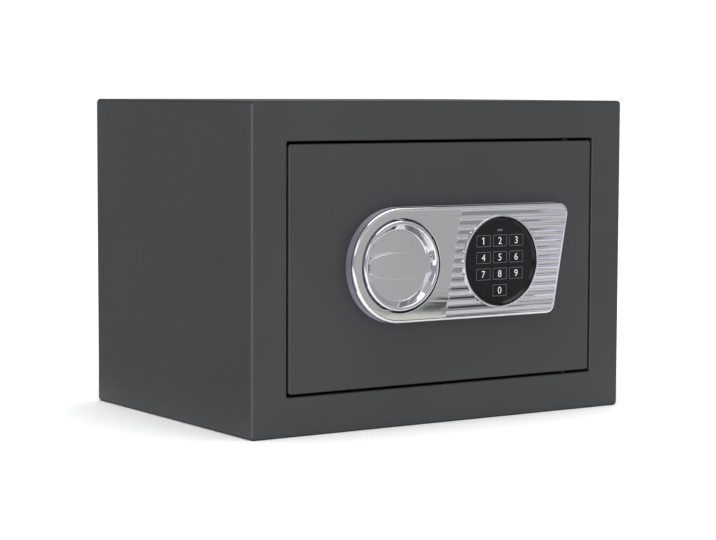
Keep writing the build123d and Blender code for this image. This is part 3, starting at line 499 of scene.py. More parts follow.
nickel_plate = mottled(
    "nickel_plated_bar", ("#B9BABC", "#D2D2D0"), (0.16, 0.28), 20 * mm, 0.9 * mm, 0.004 * mm,
    {"Metallic": 1.0}, (1, 0.02, 0.02),
)
natural_nylon = mottled(
    "natural_nylon", ("#D6D2C6", "#E6E3DA"), (0.36, 0.46), 6 * mm, 2 * mm, 0.01 * mm,
    {"IOR": 1.53, "Subsurface Weight": 0.15, "Subsurface Radius": (1.2 * mm, 1.0 * mm, 0.8 * mm)},
)
bolt_length = 30.0 * mm
bolt_nose = 2.5 * mm
bolt_edge = 0.3 * mm
stud_radius = 4.0 * mm
stud_pitch = 1.25 * mm
stud_chamfer = 0.8 * mm
for end in ("upper", "lower"):
    low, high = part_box(f"lock_bolt_{end}")
    bolt_radius = (high.z - low.z) / 2
    length = high.x - low.x
    bolt_profile = [
        (0, 0), *arc((bolt_radius - bolt_nose, bolt_nose), bolt_nose, -90, 0, 8),
        (bolt_radius, bolt_length - bolt_edge), (bolt_radius - bolt_edge, bolt_length),
        *ridges(stud_radius, bolt_length, length - stud_chamfer, stud_pitch),
        (stud_radius - stud_chamfer, length), (0, length),
    ]
    bolt_tip = (low.x, *middle_of(low, high)[1:])
    bolt = turned_solid("lock_bolt", bolt_profile, bolt_tip, (1, 0, 0), 64)
    dressed(f"lock_bolt_{end}", carved(bolt), nickel_plate)
finished("bolt_bushes", natural_nylon, 0.2 * mm)
finished("bolt_carrier", zinc_plate, 0.25 * mm)
finished("guide_washers", zinc_plate, 0.15 * mm)


def solids_of(node):
    """The lowest and highest corner of each separate solid of a CAD node."""
    work = bmesh.new()
    work.from_mesh(frame["nodes"][node].data)
    bmesh.ops.remove_doubles(work, verts=work.verts, dist=weld)
    left = set(work.verts)
    boxes = []
    while left:
        group = [left.pop()]
        for vert in group:
            for edge in vert.link_edges:
                other = edge.other_vert(vert)
                if other in left:
                    left.discard(other)
                    group.append(other)
        corners = [v.co for v in group]
        boxes.append((
            Vector([min(c[k] for c in corners) for k in range(3)]),
            Vector([max(c[k] for c in corners) for k in range(3)]),
        ))
    work.free()
    return sorted(boxes, key=lambda pair: tuple(round(c, 5) for c in pair[0]))


post_radius = 6.5 * mm
post_neck_radius = 4.0 * mm
post_thread_radius = 3.0 * mm
post_shoulder = 27.9 * mm
post_neck = 31.2 * mm
post_edge = 0.3 * mm
post_chamfer = 0.6 * mm


def guide_posts(work):
    """Four posts that stand on the door plate: a shoulder, a neck for the slide and a thread."""
    for low, high in solids_of("guide_posts"):
        x, _, z = middle_of(low, high)
        length = high.y - low.y
        profile = [
            (0, 0), (post_radius, 0), (post_radius, post_shoulder - post_edge),
            (post_radius - post_edge, post_shoulder), (post_neck_radius, post_shoulder),
            (post_neck_radius, post_neck), *ridges(post_thread_radius, post_neck, length - post_chamfer),
            (post_thread_radius - post_chamfer, length), (0, length),
        ]
        turned(work, profile, (x, low.y, z), (0, 1, 0))


dressed("guide_posts", carved(solid("guide_posts", guide_posts)), zinc_plate)


# Nuts: hexagons cut from bar, zinc plated like the slide. One tree sets every nut, and further down every
# screw, on its spot and turns each by a random angle, as they are driven.
def new_tree(name, inputs):
    """A Geometry Nodes tree on a mesh, whose inputs are given as names with kinds, and their sockets."""
    made = bpy.data.node_groups.new(name, "GeometryNodeTree")
    for title, kind in {"Geometry": "Geometry", **inputs}.items():
        made.interface.new_socket(title, in_out="INPUT", socket_type="NodeSocket" + kind)
    made.interface.new_socket("Geometry", in_out="OUTPUT", socket_type="NodeSocketGeometry")
    return made, add_node(made, "NodeGroupInput").outputs


def end_tree(tree, geometry, material):
    """Ends a tree: its instances become plain faces with a material."""
    real = add_node(tree, "GeometryNodeRealizeInstances", {"Geometry": geometry})
    plated = add_node(tree, "GeometryNodeSetMaterial", {"Geometry": real.outputs[0], "Material": material})
    add_node(tree, "NodeGroupOutput", {"Geometry": plated.outputs[0]})


fasteners_tree, given = new_tree(
    "fasteners_on_spots", {"Fastener": "Object", "Material": "Material", "Seed": "Int"}
)
spots = add_node(fasteners_tree, "GeometryNodeMeshToPoints", {"Mesh": given["Geometry"]})
sample = add_node(fasteners_tree, "GeometryNodeObjectInfo", {"Object": given["Fastener"]})
angle = add_node(fasteners_tree, "FunctionNodeRandomValue", {
    3: math.tau, "Seed": given["Seed"],
}, data_type="FLOAT")
spin = add_node(fasteners_tree, "ShaderNodeCombineXYZ", {"Y": angle.outputs[1]})
placed = add_node(fasteners_tree, "GeometryNodeInstanceOnPoints", {
    "Points": spots.outputs[0], "Instance": sample.outputs["Geometry"], "Rotation": spin.outputs[0],
})
end_tree(fasteners_tree, placed.outputs[0], given["Material"])


def grown(name, mesh, node_tree, values):
    """Runs a Geometry Nodes tree on a mesh with the named inputs and returns the plain result."""
    holder = new_object(name, mesh)
    modifier = holder.modifiers.new(name, "NODES")
    modifier.node_group = node_tree
    for item in node_tree.interface.items_tree:
        if item.in_out == "INPUT" and item.name in values:
            modifier[item.identifier] = values[item.name]
    return baked(holder)


def set_on_spots(node, sample_mesh, seats, seed, turn=Matrix.Identity(4)):
    """Sets a sample, which stands along +Y, on each seat; the turn is for one that stands elsewhere."""
    sample_object = new_object(node + "_sample", sample_mesh)
    points = bpy.data.meshes.new(node + "_spots")
    points.from_pydata([turn.inverted() @ Vector(seat) for seat in seats], [], [])
    mesh = grown(node, points, fasteners_tree, {
        "Fastener": sample_object, "Material": zinc_plate, "Seed": seed,
    })
    bpy.data.objects.remove(sample_object)
    mesh.transform(turn)
    smooth(shown(node + "_piece", mesh, node))


def nut(corner_radius, height, bore):
    """A hexagon nut cut from bar with turned back corners: its seat is on y = 0."""
    across_chamfer = 0.07 * corner_radius
    chamfer = 0.6 * across_chamfer
    flat_radius = corner_radius - across_chamfer
    cone = [
        (0, 0), (flat_radius, 0), (corner_radius, chamfer),
        (corner_radius, height - chamfer), (flat_radius, height), (0, height),
    ]
    hole = [(0, -cut_past), *ridges(bore, -cut_past, height + cut_past), (0, height + cut_past)]
    hexagon, round_off, bore_cut = (
        turned_solid("nut", profile, (0, 0, 0), (0, 1, 0), segments)
        for profile, segments in ((rectangle(0, 0, corner_radius, height), 6), (cone, 48), (hole, 32))
    )
    return carved(hexagon, [bore_cut], common=[round_off])


cut_past = 1.0 * mm
nut_boxes = solids_of("guide_nuts")
low, high = nut_boxes[0]
seats = [((a.x + b.x) / 2, a.y, (a.z + b.z) / 2) for a, b in nut_boxes]
set_on_spots("guide_nuts", nut((high.x - low.x) / 2, high.y - low.y, post_thread_radius), seats, 11)
nut_boxes = solids_of("bolt_nuts")
low, high = nut_boxes[0]
across_corners = max(high.y - low.y, high.z - low.z)
seats = [(a.x, *middle_of(a, b)[1:]) for a, b in nut_boxes]
set_on_spots(
    "bolt_nuts", nut(across_corners / 2, high.x - low.x, stud_radius), seats, 4,
    Matrix.Rotation(math.radians(-90), 4, "Z"),
)

# Lock plate: a die cast zinc shell with a rounded rim, a well for the knob, a round hole for the keypad
# and twelve low ribs. It is polished and chromed: a sharp mirror, bent a little by long shallow waves.
# Its flank and the well's wall aren't buffed and look pale. Painted shade darkens the well's wall below and
# right.
door_face = -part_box("door_plate")[0].y
plate_low, plate_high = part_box("lock_plate")
knob_low, knob_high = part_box("knob")
bezel_low, bezel_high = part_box("keypad_bezel")
knob_x = (knob_low.x + knob_high.x) / 2
keypad_x = (bezel_low.x + bezel_high.x) / 2
mid_z = (plate_low.z + plate_high.z) / 2
knob_radius = (knob_high.x - knob_low.x) / 2
bezel_radius = (bezel_high.x - bezel_low.x) / 2
hole_gap = 0.1 * mm
keypad_hole = bezel_radius + hole_gap
rib_rise = 1.0 * mm
plate_front = -plate_low.y - door_face - rib_rise
plate_radius = (plate_high.z - plate_low.z) / 2
plate_rounding = 2.9 * mm
plate_wall = 2.0 * mm
plate_corner = 8.5 * mm
plate_slant = 15.4 * mm
plate_tip = 115.3 * mm
knob_gap = 1.5 * mm
well_radius = knob_radius + knob_gap
well_floor = 1.2 * mm
well_lip = 0.4 * mm
bush_radius = 8.0 * mm
rib_count = 12
rib_pitch = 7.22 * mm
rib_width = 7.1 * mm
rib_sunk = 0.06 * mm
rib_end = 2.2 * mm
rib_wave = 0.62 * mm
rib_end_margin = 3.6 * mm
rib_side_margin = 3.0 * mm
rib_left_top = 6.0 * mm
rib_left_bottom = -8.0 * mm
well_shade_slope = 0.75
chrome = mottled(
    "bright_chrome_plate", ("#DEE0E2", "#E9EAEB"), (0.045, 0.065), 60 * mm, 32 * mm, 0.045 * mm,
    {"Metallic": 1.0},
)
dull_chrome = mottled(
    "unbuffed_chrome_plate", ("#C4C6D4", "#D6D8E4"), (0.75, 0.85), 20 * mm, 1.5 * mm, 0.01 * mm,
    {"Metallic": 1.0},
)
# A dark plate that paints shade into the knob's well.
gap_shade_plate = mottled(
    "painted_shade_chrome_plate", ("#2A2B2D", "#343537"), (0.45, 0.6), 8 * mm, 1.5 * mm, 0.01 * mm,
    {"Metallic": 1.0},
)


def circle(centre_x, centre_z, radius, steps=128):
    """Points of a circle in the front's plane, as (x, z)."""
    return arc((centre_x, centre_z), radius, 0, 360 * (steps - 1) / steps, steps - 1)


def ring_of(work, points, front):
    """Vertices along a loop of (x, z) points at one depth; the front is the distance along -Y."""
    return [work.verts.new((x, -front, z)) for x, z in points]


def cap(work, rings):
    """Fills the face inside the first ring and outside the others."""
    loops = [[v.co.xzy for v in ring] for ring in rings]
    flat = [v for ring in rings for v in ring]
    for corner in tessellate_polygon(loops):
        if len({flat[k] for k in corner}) == 3:
            work.faces.new([flat[k] for k in corner])


def slab(work, outline, holes, back, front, rounding=0.0, steps=5):
    """A plate between two depths. Its outline and holes are functions that give a loop of points
    moved into the plate by an inset, so the front's edges can be rounded."""
    levels = [(back, 0.0)]
    for k in range(steps + 1 if rounding else 1):
        angle = math.pi / 2 * k / steps
        levels.append((front - rounding + rounding * math.sin(angle), rounding * (1 - math.cos(angle))))
    stacks = []
    for loop in [outline, *holes]:
        stacks.append([ring_of(work, loop(inset), depth) for depth, inset in levels])
    for rings in stacks:
        for first, second in zip(rings, rings[1:]):
            bridge(work, first, second)
    cap(work, [rings[0] for rings in stacks])
    cap(work, [rings[-1] for rings in stacks])


def plate_outline(inset, end_inset=None):
    """The lock plate's outline moved inwards by the inset, its slanted end by another one."""
    end_inset = inset if end_inset is None else end_inset
    radius = plate_radius - inset
    slope = plate_slant / (2 * plate_radius)
    middle = plate_tip - plate_slant / 2 - end_inset * math.hypot(1, slope)
    corner = plate_corner - end_inset
    lean = math.atan(slope)
    lower_x = middle - slope * (radius - corner) - corner / math.cos(lean)
    upper_x = middle + slope * (radius - corner) - corner / math.cos(lean)
    turn_end = -math.degrees(lean)
    return [
        *arc((knob_x, mid_z), radius, 90, 270, 96),
        *arc((lower_x, mid_z - radius + corner), corner, -90, turn_end, 12),
        *arc((upper_x, mid_z + radius - corner), corner, turn_end, 90, 12),
    ]


def round_cut(name, centre_x, radius, back, front, steps=160):
    """A round cutter from one depth to another."""
    return solid(name, lambda work: slab(
        work, lambda inset: circle(centre_x, mid_z, radius, steps), [], back, front
    ))


plate_crest = door_face + plate_front
plate_body = solid("plate_body", lambda work: slab(
    work, plate_outline, [], door_face, plate_crest, plate_rounding, 8
))
plate_hollow = solid("plate_hollow", lambda work: slab(
    work, lambda inset: plate_outline(plate_wall + inset),
    [lambda inset: circle(knob_x, mid_z, well_radius + plate_wall)],
    door_face - cut_past, plate_crest - plate_wall,
))
well_core = bush_radius / 2
well_profile = [
    (well_core, door_face + well_floor), (well_radius, door_face + well_floor),
    *arc((well_radius + well_lip, plate_crest - well_lip), well_lip, 180, 90),
    (well_radius + well_lip, plate_crest + cut_past), (well_core, plate_crest + cut_past),
]
plate_well = turned_solid("plate_well", well_profile, (knob_x, 0, mid_z), segments=160)
cut_back = door_face - cut_past
cut_front = plate_crest + 2 * cut_past
bush_cut = round_cut("bush_cut", knob_x, bush_radius, cut_back, cut_front, 48)
keypad_cut = round_cut("keypad_cut", keypad_x, keypad_hole, cut_back, cut_front)

rib_sizes = (
    "Pitch", "Width", "Rise", "Sunk", "End", "Back", "Front", "Left Top", "Left Bottom", "Right", "Middle",
)
ribs_tree, given = new_tree(
    "plate_ribs", {"Count": "Int", **{size: "Float" for size in rib_sizes}, "Material": "Material"}
)


def calc(operation, first, second=0.0, third=0.0):
    """One step of arithmetic on the ribs' values, as a Math node."""
    made = add_node(ribs_tree, "ShaderNodeMath", {0: first, 1: second, 2: third}, operation=operation)
    return made.outputs[0]


last = calc("SUBTRACT", given["Count"], 1.0)
span = calc("MULTIPLY", last, given["Pitch"])
start_z = calc("MULTIPLY_ADD", span, -0.5, given["Middle"])
start = add_node(ribs_tree, "ShaderNodeCombineXYZ", {"Z": start_z})
step = add_node(ribs_tree, "ShaderNodeCombineXYZ", {"Z": given["Pitch"]})
rows = add_node(ribs_tree, "GeometryNodeMeshLine", {
    "Count": given["Count"], "Start Location": start.outputs[0], "Offset": step.outputs[0],
}, mode="OFFSET")
row_number = add_node(ribs_tree, "GeometryNodeInputIndex")
marked = add_node(ribs_tree, "GeometryNodeStoreNamedAttribute", {
    "Geometry": rows.outputs[0], "Name": "row", "Value": row_number.outputs[0],
}, data_type="FLOAT", domain="POINT")
bar = add_node(ribs_tree, "GeometryNodeMeshCube", {
    "Size": (1, 1, 1), "Vertices X": 6, "Vertices Y": 2, "Vertices Z": 13,
})
bars = add_node(ribs_tree, "GeometryNodeInstanceOnPoints", {
    "Points": marked.outputs[0], "Instance": bar.outputs[0],
})
real = add_node(ribs_tree, "GeometryNodeRealizeInstances", {"Geometry": bars.outputs[0]})
marks = add_node(ribs_tree, "GeometryNodeInputNamedAttribute", {"Name": "row"}, data_type="FLOAT")
row = marks.outputs[0]
spot = add_node(ribs_tree, "ShaderNodeSeparateXYZ", {
    "Vector": add_node(ribs_tree, "GeometryNodeInputPosition").outputs[0],
}).outputs
end_share = 0.8
row_z = calc("MULTIPLY_ADD", row, given["Pitch"], start_z)
# A bar is a cube's grid: its height becomes the rib's width, its length runs to the slanted end, and its
# front bulges in a squared cosine that sinks away towards the left end.
across = calc("SUBTRACT", spot["Z"], row_z)
new_z = calc("MULTIPLY_ADD", across, given["Width"], row_z)
rising = calc("DIVIDE", row, last)
left_gain = calc("SUBTRACT", given["Left Top"], given["Left Bottom"])
left_x = calc("MULTIPLY_ADD", rising, left_gain, given["Left Bottom"])
along = calc("ADD", spot["X"], 0.5)
on_end = calc("MINIMUM", calc("MULTIPLY", along, 1 / end_share), 1.0)
end_x = calc("MULTIPLY_ADD", on_end, given["End"], left_x)
at_right = calc("GREATER_THAN", along, (1 + end_share) / 2)
new_x = calc("MULTIPLY_ADD", at_right, calc("SUBTRACT", given["Right"], end_x), end_x)
wave = calc("POWER", calc("COSINE", calc("MULTIPLY", across, math.pi)), 2.0)
ramp = calc("SINE", calc("MULTIPLY", on_end, math.pi / 2))
full_rise = calc("ADD", given["Rise"], given["Sunk"])
height = calc("SUBTRACT", calc("MULTIPLY", calc("MULTIPLY", wave, ramp), full_rise), given["Sunk"])
front = calc("ADD", given["Front"], height)
to_back = calc("GREATER_THAN", spot["Y"], 0.0)
depth = calc("MULTIPLY_ADD", to_back, calc("SUBTRACT", given["Back"], front), front)
new_spot = add_node(ribs_tree, "ShaderNodeCombineXYZ", {
    "X": new_x, "Y": calc("MULTIPLY", depth, -1.0), "Z": new_z,
})
shaped = add_node(ribs_tree, "GeometryNodeSetPosition", {
    "Geometry": real.outputs[0], "Position": new_spot.outputs[0],
})
end_tree(ribs_tree, shaped.outputs[0], given["Material"])

ribs_mesh = grown("plate_ribs", bpy.data.meshes.new("seed"), ribs_tree, {
    "Count": rib_count, "Pitch": rib_pitch, "Width": rib_width, "Rise": rib_wave, "Sunk": rib_sunk,
    "End": rib_end, "Back": plate_crest - cut_past, "Front": plate_crest, "Left Top": rib_left_top,
    "Left Bottom": rib_left_bottom, "Right": plate_tip, "Middle": mid_z, "Material": chrome,
})
rib_area = solid("rib_area", lambda work: slab(
    work, lambda inset: plate_outline(rib_side_margin, rib_end_margin), [],
    plate_crest - 2 * cut_past, plate_crest + 2 * cut_past,
))
ribs = new_object("plate_ribs", carved(new_object("long_ribs", ribs_mesh), common=[rib_area]))
plate_mesh = carved(plate_body, [plate_hollow, plate_well, bush_cut, keypad_cut], [ribs])
slack = 0.1 * mm
for face in plate_mesh.polygons:
    from_knob = math.hypot(face.center.x - knob_x, face.center.z - mid_z)
    from_keypad = math.hypot(face.center.x - keypad_x, face.center.z - mid_z)
    behind_rounding = face.center.y > plate_rounding - plate_crest - slack
    in_well = knob_radius - cut_past < from_knob < well_radius + slack
    on_flank = from_knob > well_radius + cut_past and from_keypad > keypad_hole + cut_past
    # Painted shade: the well's wall is dark below the knob's middle and, at its right, below a rising line.
    in_painted_shade = face.center.z - mid_z < max(0, well_shade_slope * (face.center.x - knob_x))
    if behind_rounding and (in_well or on_flank):
        face.material_index = 2 if in_well and in_painted_shade else 1
    else:
        face.material_index = 0
dressed("lock_plate", plate_mesh, chrome, dull_chrome, gap_shade_plate)


# Screws: pan heads with a cross recess, pressed from wire and zinc plated, driven from behind.
# Four of them hold the lock plate through the door.
def screw(head_radius, head_height, shank_radius, shank_length):
    """One screw: its head sits on y = 0 and its shank, if it has a length, goes to -Y."""
    round_off = head_rounding * head_height
    top = [(head_radius - round_off + r, round_off - head_height - h)
           for r, h in arc((0, 0), round_off, 0, 90, 5)]
    shank = [(0, 0)]
    if shank_length > 0:
        shank = [(0, shank_length), *ridges(shank_radius, shank_length - screw_point, 0, screw_pitch)]
    profile = [*shank, (head_radius, 0), *top, (0, -head_height - head_dome)]
    body = turned_solid("screw_body", profile, (0, 0, 0), segments=32)
    arms = [
        solid("screw_cross", lambda work, turn=turn: cross_arm(work, head_radius, head_height, turn))
        for turn in (0, 90)
    ]
    return carved(body, arms)


def cross_arm(work, head_radius, head_height, turn):
    """One tapered arm of the driver's cross."""
    made = bmesh.ops.create_cube(work, size=1.0)["verts"]
    size = (cross_reach * head_radius, head_height, cross_width * head_radius)
    bmesh.ops.scale(work, vec=size, verts=made)
    for v in made:
        if v.co.y < 0:
            v.co.x *= cross_taper
        v.co.y += head_height
    bmesh.ops.transform(work, matrix=Matrix.Rotation(math.radians(turn), 4, "Y"), verts=made)


def drive_screws(node, seed):
    """Sets the node's screws, whose heads stand towards the back, on their seats."""
    boxes = solids_of(node)
    low, high = boxes[0]
    shank_length = high.y - low.y - head_height
    sample_mesh = screw(head_radius, head_height - head_sunk, screw_radius, shank_length)
    seats = [((a.x + b.x) / 2, b.y - head_height, (a.z + b.z) / 2) for a, b in boxes]
    set_on_spots(node, sample_mesh, seats, seed)


head_radius = 3.6 * mm
head_height = 2.2 * mm
head_rounding = 0.45
head_dome = 0.05 * mm
head_sunk = 0.06 * mm
screw_radius = 2.0 * mm
screw_pitch = 1.4 * mm
screw_point = 0.5 * mm
cross_reach = 1.1
cross_width = 0.26
cross_taper = 0.35
drive_screws("plate_screws", 5)


# Knob set: a die cast and chromed disc with a rounded rim, two half moon finger wells and a barrel
# shaped bar between them; its flank isn't buffed. It is pressed on a zinc plated spindle, which turns
# in a nylon bush and carries the crank behind the door, held by a roll pin.
knob_back = door_face + 1.6 * mm
knob_floor = door_face + 5.0 * mm
knob_crest = door_face + 11.4 * mm
rim_round = 1.9 * mm
wall_lean = math.atan2(6.0, 4.0)
floor_round = 1.6 * mm
back_edge = 0.5 * mm
bar_top = door_face + 9.2 * mm
bar_half_length = 28.0 * mm
bar_middle = 21.0 * mm
bar_end = 11.5 * mm
bar_corner = 1.8 * mm
bar_edge = 0.7 * mm
bar_sunk = 0.5 * mm
spindle_radius = 5.0 * mm
spindle_front = door_face + 8.5 * mm
rim_centre = (knob_radius - rim_round, knob_crest - rim_round)
rim_to_wall = math.degrees(wall_lean) + 90
wall_top = arc(rim_centre, rim_round, 0, rim_to_wall, 16)
foot_height = knob_floor + floor_round * (1 - math.cos(wall_lean))
foot_radius = wall_top[-1][0] - (wall_top[-1][1] - foot_height) / math.tan(wall_lean)
foot_centre = (foot_radius - floor_round * math.sin(wall_lean), knob_floor + floor_round)
knob_profile = [
    (0, knob_back), *arc((knob_radius - back_edge, knob_back + back_edge), back_edge, -90, 0, 3),
    *wall_top, *arc(foot_centre, floor_round, math.degrees(wall_lean) - 90, -90, 10), (0, knob_floor),
]
knob_disc = turned_solid("knob_disc", knob_profile, (knob_x, 0, mid_z), segments=192)


def bar_outline(inset):
    """The grip bar's barrel outline with rounded ends, moved inwards by the inset."""
    rise = (bar_middle - bar_end) / 2
    radius = (bar_half_length ** 2 + rise ** 2) / (2 * rise)
    centre = bar_middle / 2 - radius
    corner_x = bar_half_length - bar_corner
    corner_z = centre + math.sqrt((radius - bar_corner) ** 2 - corner_x ** 2)
    bend = math.degrees(math.atan2(corner_z - centre, corner_x))
    long_radius = radius - inset
    corner = bar_corner - inset
    return [
        *arc((knob_x, mid_z + centre), long_radius, bend, 180 - bend, 48),
        *arc((knob_x - corner_x, mid_z + corner_z), corner, 180 - bend, 180)[1:],
        *arc((knob_x - corner_x, mid_z - corner_z), corner, 180, 180 + bend)[:-1],
        *arc((knob_x, mid_z - centre), long_radius, 180 + bend, 360 - bend, 48),
        *arc((knob_x + corner_x, mid_z - corner_z), corner, 360 - bend, 360)[1:],
        *arc((knob_x + corner_x, mid_z + corner_z), corner, 0, bend)[:-1],
    ]


grip_bar = solid("grip_bar", lambda work: slab(
    work, bar_outline, [], knob_back + bar_sunk, bar_top, bar_edge, 6
))
spindle_bore = round_cut("spindle_bore", knob_x, spindle_radius, knob_back - cut_past, spindle_front, 48)
knob_mesh = carved(knob_disc, [spindle_bore], [grip_bar])
for face in knob_mesh.polygons:
    reach = math.hypot(face.center.x - knob_x, face.center.z - mid_z)
    face.material_index = int(reach > knob_radius - slack / 2 and face.center.y > rim_round - knob_crest)
dressed("knob", knob_mesh, chrome, dull_chrome)
finished("spindle", zinc_plate)
finished("spindle_bush", natural_nylon, 0.2 * mm)
finished("crank", zinc_plate, 0.3 * mm)
finished("roll_pin", zinc_plate)

# Solenoid: a bent steel frame, a nylon bobbin wound with enamelled copper wire, turn beside turn, and
# a stepped plunger. The winding shines in thin copper lines; the wire is drawn as thick as it needs
# to show.
wire = 0.45 * mm
winding_radius = 9.6 * mm
bobbin_flange = 1.0 * mm
bore_radius = 4.05 * mm
bore_depth = 1.5 * mm
copper_wire = mottled(
    "enamelled_copper_wire", ("#8A4322", "#B0623A"), (0.28, 0.36), 5 * mm, 1 * mm, 0.0, {"Metallic": 0.8}
)
coil_low, coil_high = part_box("solenoid_coil")
coil_length = coil_high.y - coil_low.y
bobbin_radius = (coil_high.x - coil_low.x) / 2
coil_x = (coil_high.x + coil_low.x) / 2
coil_profile = [
    (0, 0), (bobbin_radius, 0), (bobbin_radius, bobbin_flange),
    *ridges(winding_radius, bobbin_flange, coil_length - bobbin_flange, wire, wire / 2),
    (bobbin_radius, coil_length - bobbin_flange), (bobbin_radius, coil_length), (bore_radius, coil_length),
    (bore_radius, bore_depth), (0, bore_depth),
]
coil_mesh = carved(turned_solid("coil", coil_profile, (coil_x, coil_low.y, mid_z), (0, 1, 0)))
for face in coil_mesh.polygons:
    reach = math.hypot(face.center.x - coil_x, face.center.z - mid_z)
    along = face.center.y - coil_low.y
    on_wire = bobbin_flange < along < coil_length - bobbin_flange
    if winding_radius - wire < reach < winding_radius and on_wire:
        face.material_index = 1
dressed("solenoid_coil", coil_mesh, black_nylon, copper_wire)
finished("solenoid_frame", zinc_plate, 0.2 * mm)
finished("solenoid_plunger", zinc_plate)
drive_screws("solenoid_screws", 8)

# Keypad's inside: a moulded cup of black ABS, whose spark eroded grain kills the shine, and on its
# pins a circuit board, under green lacquer through which the copper tracks show paler. Before it lies
# a mat of grey silicone rubber, dull and soft, with a raised pad under each key.
black_abs = mottled(
    "spark_eroded_black_abs", ("#1A1A1C", "#242426"), (0.5, 0.62), 0.9 * mm, 0.9 * mm, 0.03 * mm,
    {"IOR": 1.53},
)
silicone = mottled(
    "silicone_rubber", ("#343537", "#414244"), (0.55, 0.7), 3 * mm, 3 * mm, 0.01 * mm, {"IOR": 1.41}
)
solder_mask, tree, shader = new_material(
    "solder_mask", {"Roughness": 0.35, "IOR": 1.5, "Coat Weight": 0.3}
)
track_pitch = 1.9 * mm
tracks = add_node(tree, "ShaderNodeTexBrick", {
    "Vector": add_node(tree, "ShaderNodeTexCoord").outputs["Object"], "Scale": 0.5 / track_pitch,
    "Mortar Size": 0.04, "Mortar": linear("#3B8455"),
    "Color1": linear("#1E5736"), "Color2": linear("#23633E"),
})
tree.links.new(tracks.outputs["Color"], shader.inputs["Base Color"])
finished("keypad_cup", black_abs)
finished("keypad_board", solder_mask)
finished("key_mat", silicone, 0.3 * mm)

# Keypad bezel: a thin turned ring, polished and chromed like the plate. It sits in the plate's hole,
# stands a little proud of the keypad's rim and holds the keypad's face.
face_radius = 34.8 * mm
ring_inner = face_radius + 0.2 * mm
ring_front = -bezel_low.y
ring_back = -bezel_high.y
ring_round = 0.6 * mm
ring_inner_round = 0.45 * mm
bezel_profile = [
    (ring_inner, ring_back), (bezel_radius, ring_back),
    *arc((bezel_radius - ring_round, ring_front - ring_round), ring_round, 0, 90),
    *arc((ring_inner + ring_inner_round, ring_front - ring_inner_round), ring_inner_round, 90, 180),
]
bezel = turned_solid("keypad_bezel", bezel_profile, (keypad_x, 0, mid_z), segments=192)
dressed("keypad_bezel", carved(bezel), chrome)

# Keypad face and key caps: black polycarbonate moulded against polished steel, nearly a mirror. The
# face has a raised rim with a pry notch at its top and its bottom, and a window for each key. The
# caps carry a figure and a thin line round their edge, both screen printed in flat, opaque ink.
face_front = door_face + 9.2 * mm
face_sheet = 1.6 * mm
rim_front = door_face + 11.3 * mm
rim_width = 1.2 * mm
rim_lean = 2.2 * mm
rim_edge = 0.4 * mm
notch_radius = 1.6 * mm
gloss_black = mottled(
    "polished_black_polycarbonate", ("#0D0D10", "#131316"), (0.14, 0.22), 9 * mm, 9 * mm, 0.0,
    {"IOR": 1.58, "Specular IOR Level": 0.24},
)


def rounded_box(centre_x, centre_z, width, height, corner, steps=6):
    """Points of a rectangle with round corners in the front's plane, as (x, z)."""
    points = []
    for quarter, (side_x, side_z) in enumerate(((1, 1), (-1, 1), (-1, -1), (1, -1))):
        middle = (centre_x + side_x * (width / 2 - corner), centre_z + side_z * (height / 2 - corner))
        points += arc(middle, corner, 90 * quarter, 90 * quarter + 90, steps)
    return points


key_corner = 0.9 * mm
key_gap = 0.2 * mm
light_corner = 0.2 * mm
flange_reach = 0.6 * mm
keys = {}
for digit in range(10):
    low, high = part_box(f"key_{digit}")
    middle = (low + high) / 2
    width, height = (side - 2 * flange_reach for side in (high.x - low.x, high.z - low.z))
    keys[digit] = (middle.x, middle.z, width, height)
windows = [
    lambda inset, x=x, z=z, width=width, height=height: rounded_box(
        x, z, width + 2 * (key_gap - inset), height + 2 * (key_gap - inset), key_corner + key_gap
    )
    for x, z, width, height in keys.values()
]
low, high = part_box("status_led")
light = middle_of(low, high)
windows.append(lambda inset: rounded_box(
    light[0], light[2], high.x - low.x, high.z - low.z, light_corner
))
face_plate = solid("face_plate", lambda work: slab(
    work, lambda inset: circle(keypad_x, mid_z, face_radius - slack, 160), windows,
    face_front - face_sheet, face_front,
))
rim_foot = face_front - face_sheet / 2
rim_profile = [
    (face_radius - rim_width - rim_lean, rim_foot), (face_radius, rim_foot),
    *arc((face_radius - rim_edge, rim_front - rim_edge), rim_edge, 0, 90, 4),
    *arc((face_radius - rim_width + rim_edge, rim_front - rim_edge), rim_edge, 90, 180, 4),
]
face_rim = turned_solid("face_rim", rim_profile, (keypad_x, 0, mid_z), segments=160)
notch_floor = face_front + 0.02 * mm
notch_profile = rectangle(0, notch_floor, notch_radius, rim_front + cut_past)
notches = [
    turned_solid("pry_notch", notch_profile, (keypad_x, 0, mid_z + side * face_radius), segments=32)
    for side in (1, -1)
]
dressed("keypad_face", carved(face_plate, notches, [face_rim]), gloss_black)

key_proud = 0.3 * mm
key_edge = 0.15 * mm
key_flange = 0.8 * mm
print_height = 0.03 * mm
line_width = 0.3 * mm
line_inset = 0.16 * mm
figure_height = 5.7 * mm
figure_share = 0.73
letter_size = figure_height / figure_share
figure_thinning = 0.06 * mm
one_outline = [
    (-0.05, 0.0), (0.08, 0.0), (0.08, 1.0), (-0.03, 1.0), (-0.23, 0.87), (-0.23, 0.74), (-0.05, 0.85),
]
white_ink = mottled(
    "white_screen_ink", ("#D4D5D6", "#F1F1F0"), (0.4, 0.5), 0.6 * mm, 0.6 * mm, 0.0, {"IOR": 1.5}
)
grey_ink = mottled(
    "grey_screen_ink", ("#5D5E62", "#727377"), (0.4, 0.5), 0.6 * mm, 0.6 * mm, 0.0, {"IOR": 1.5}
)


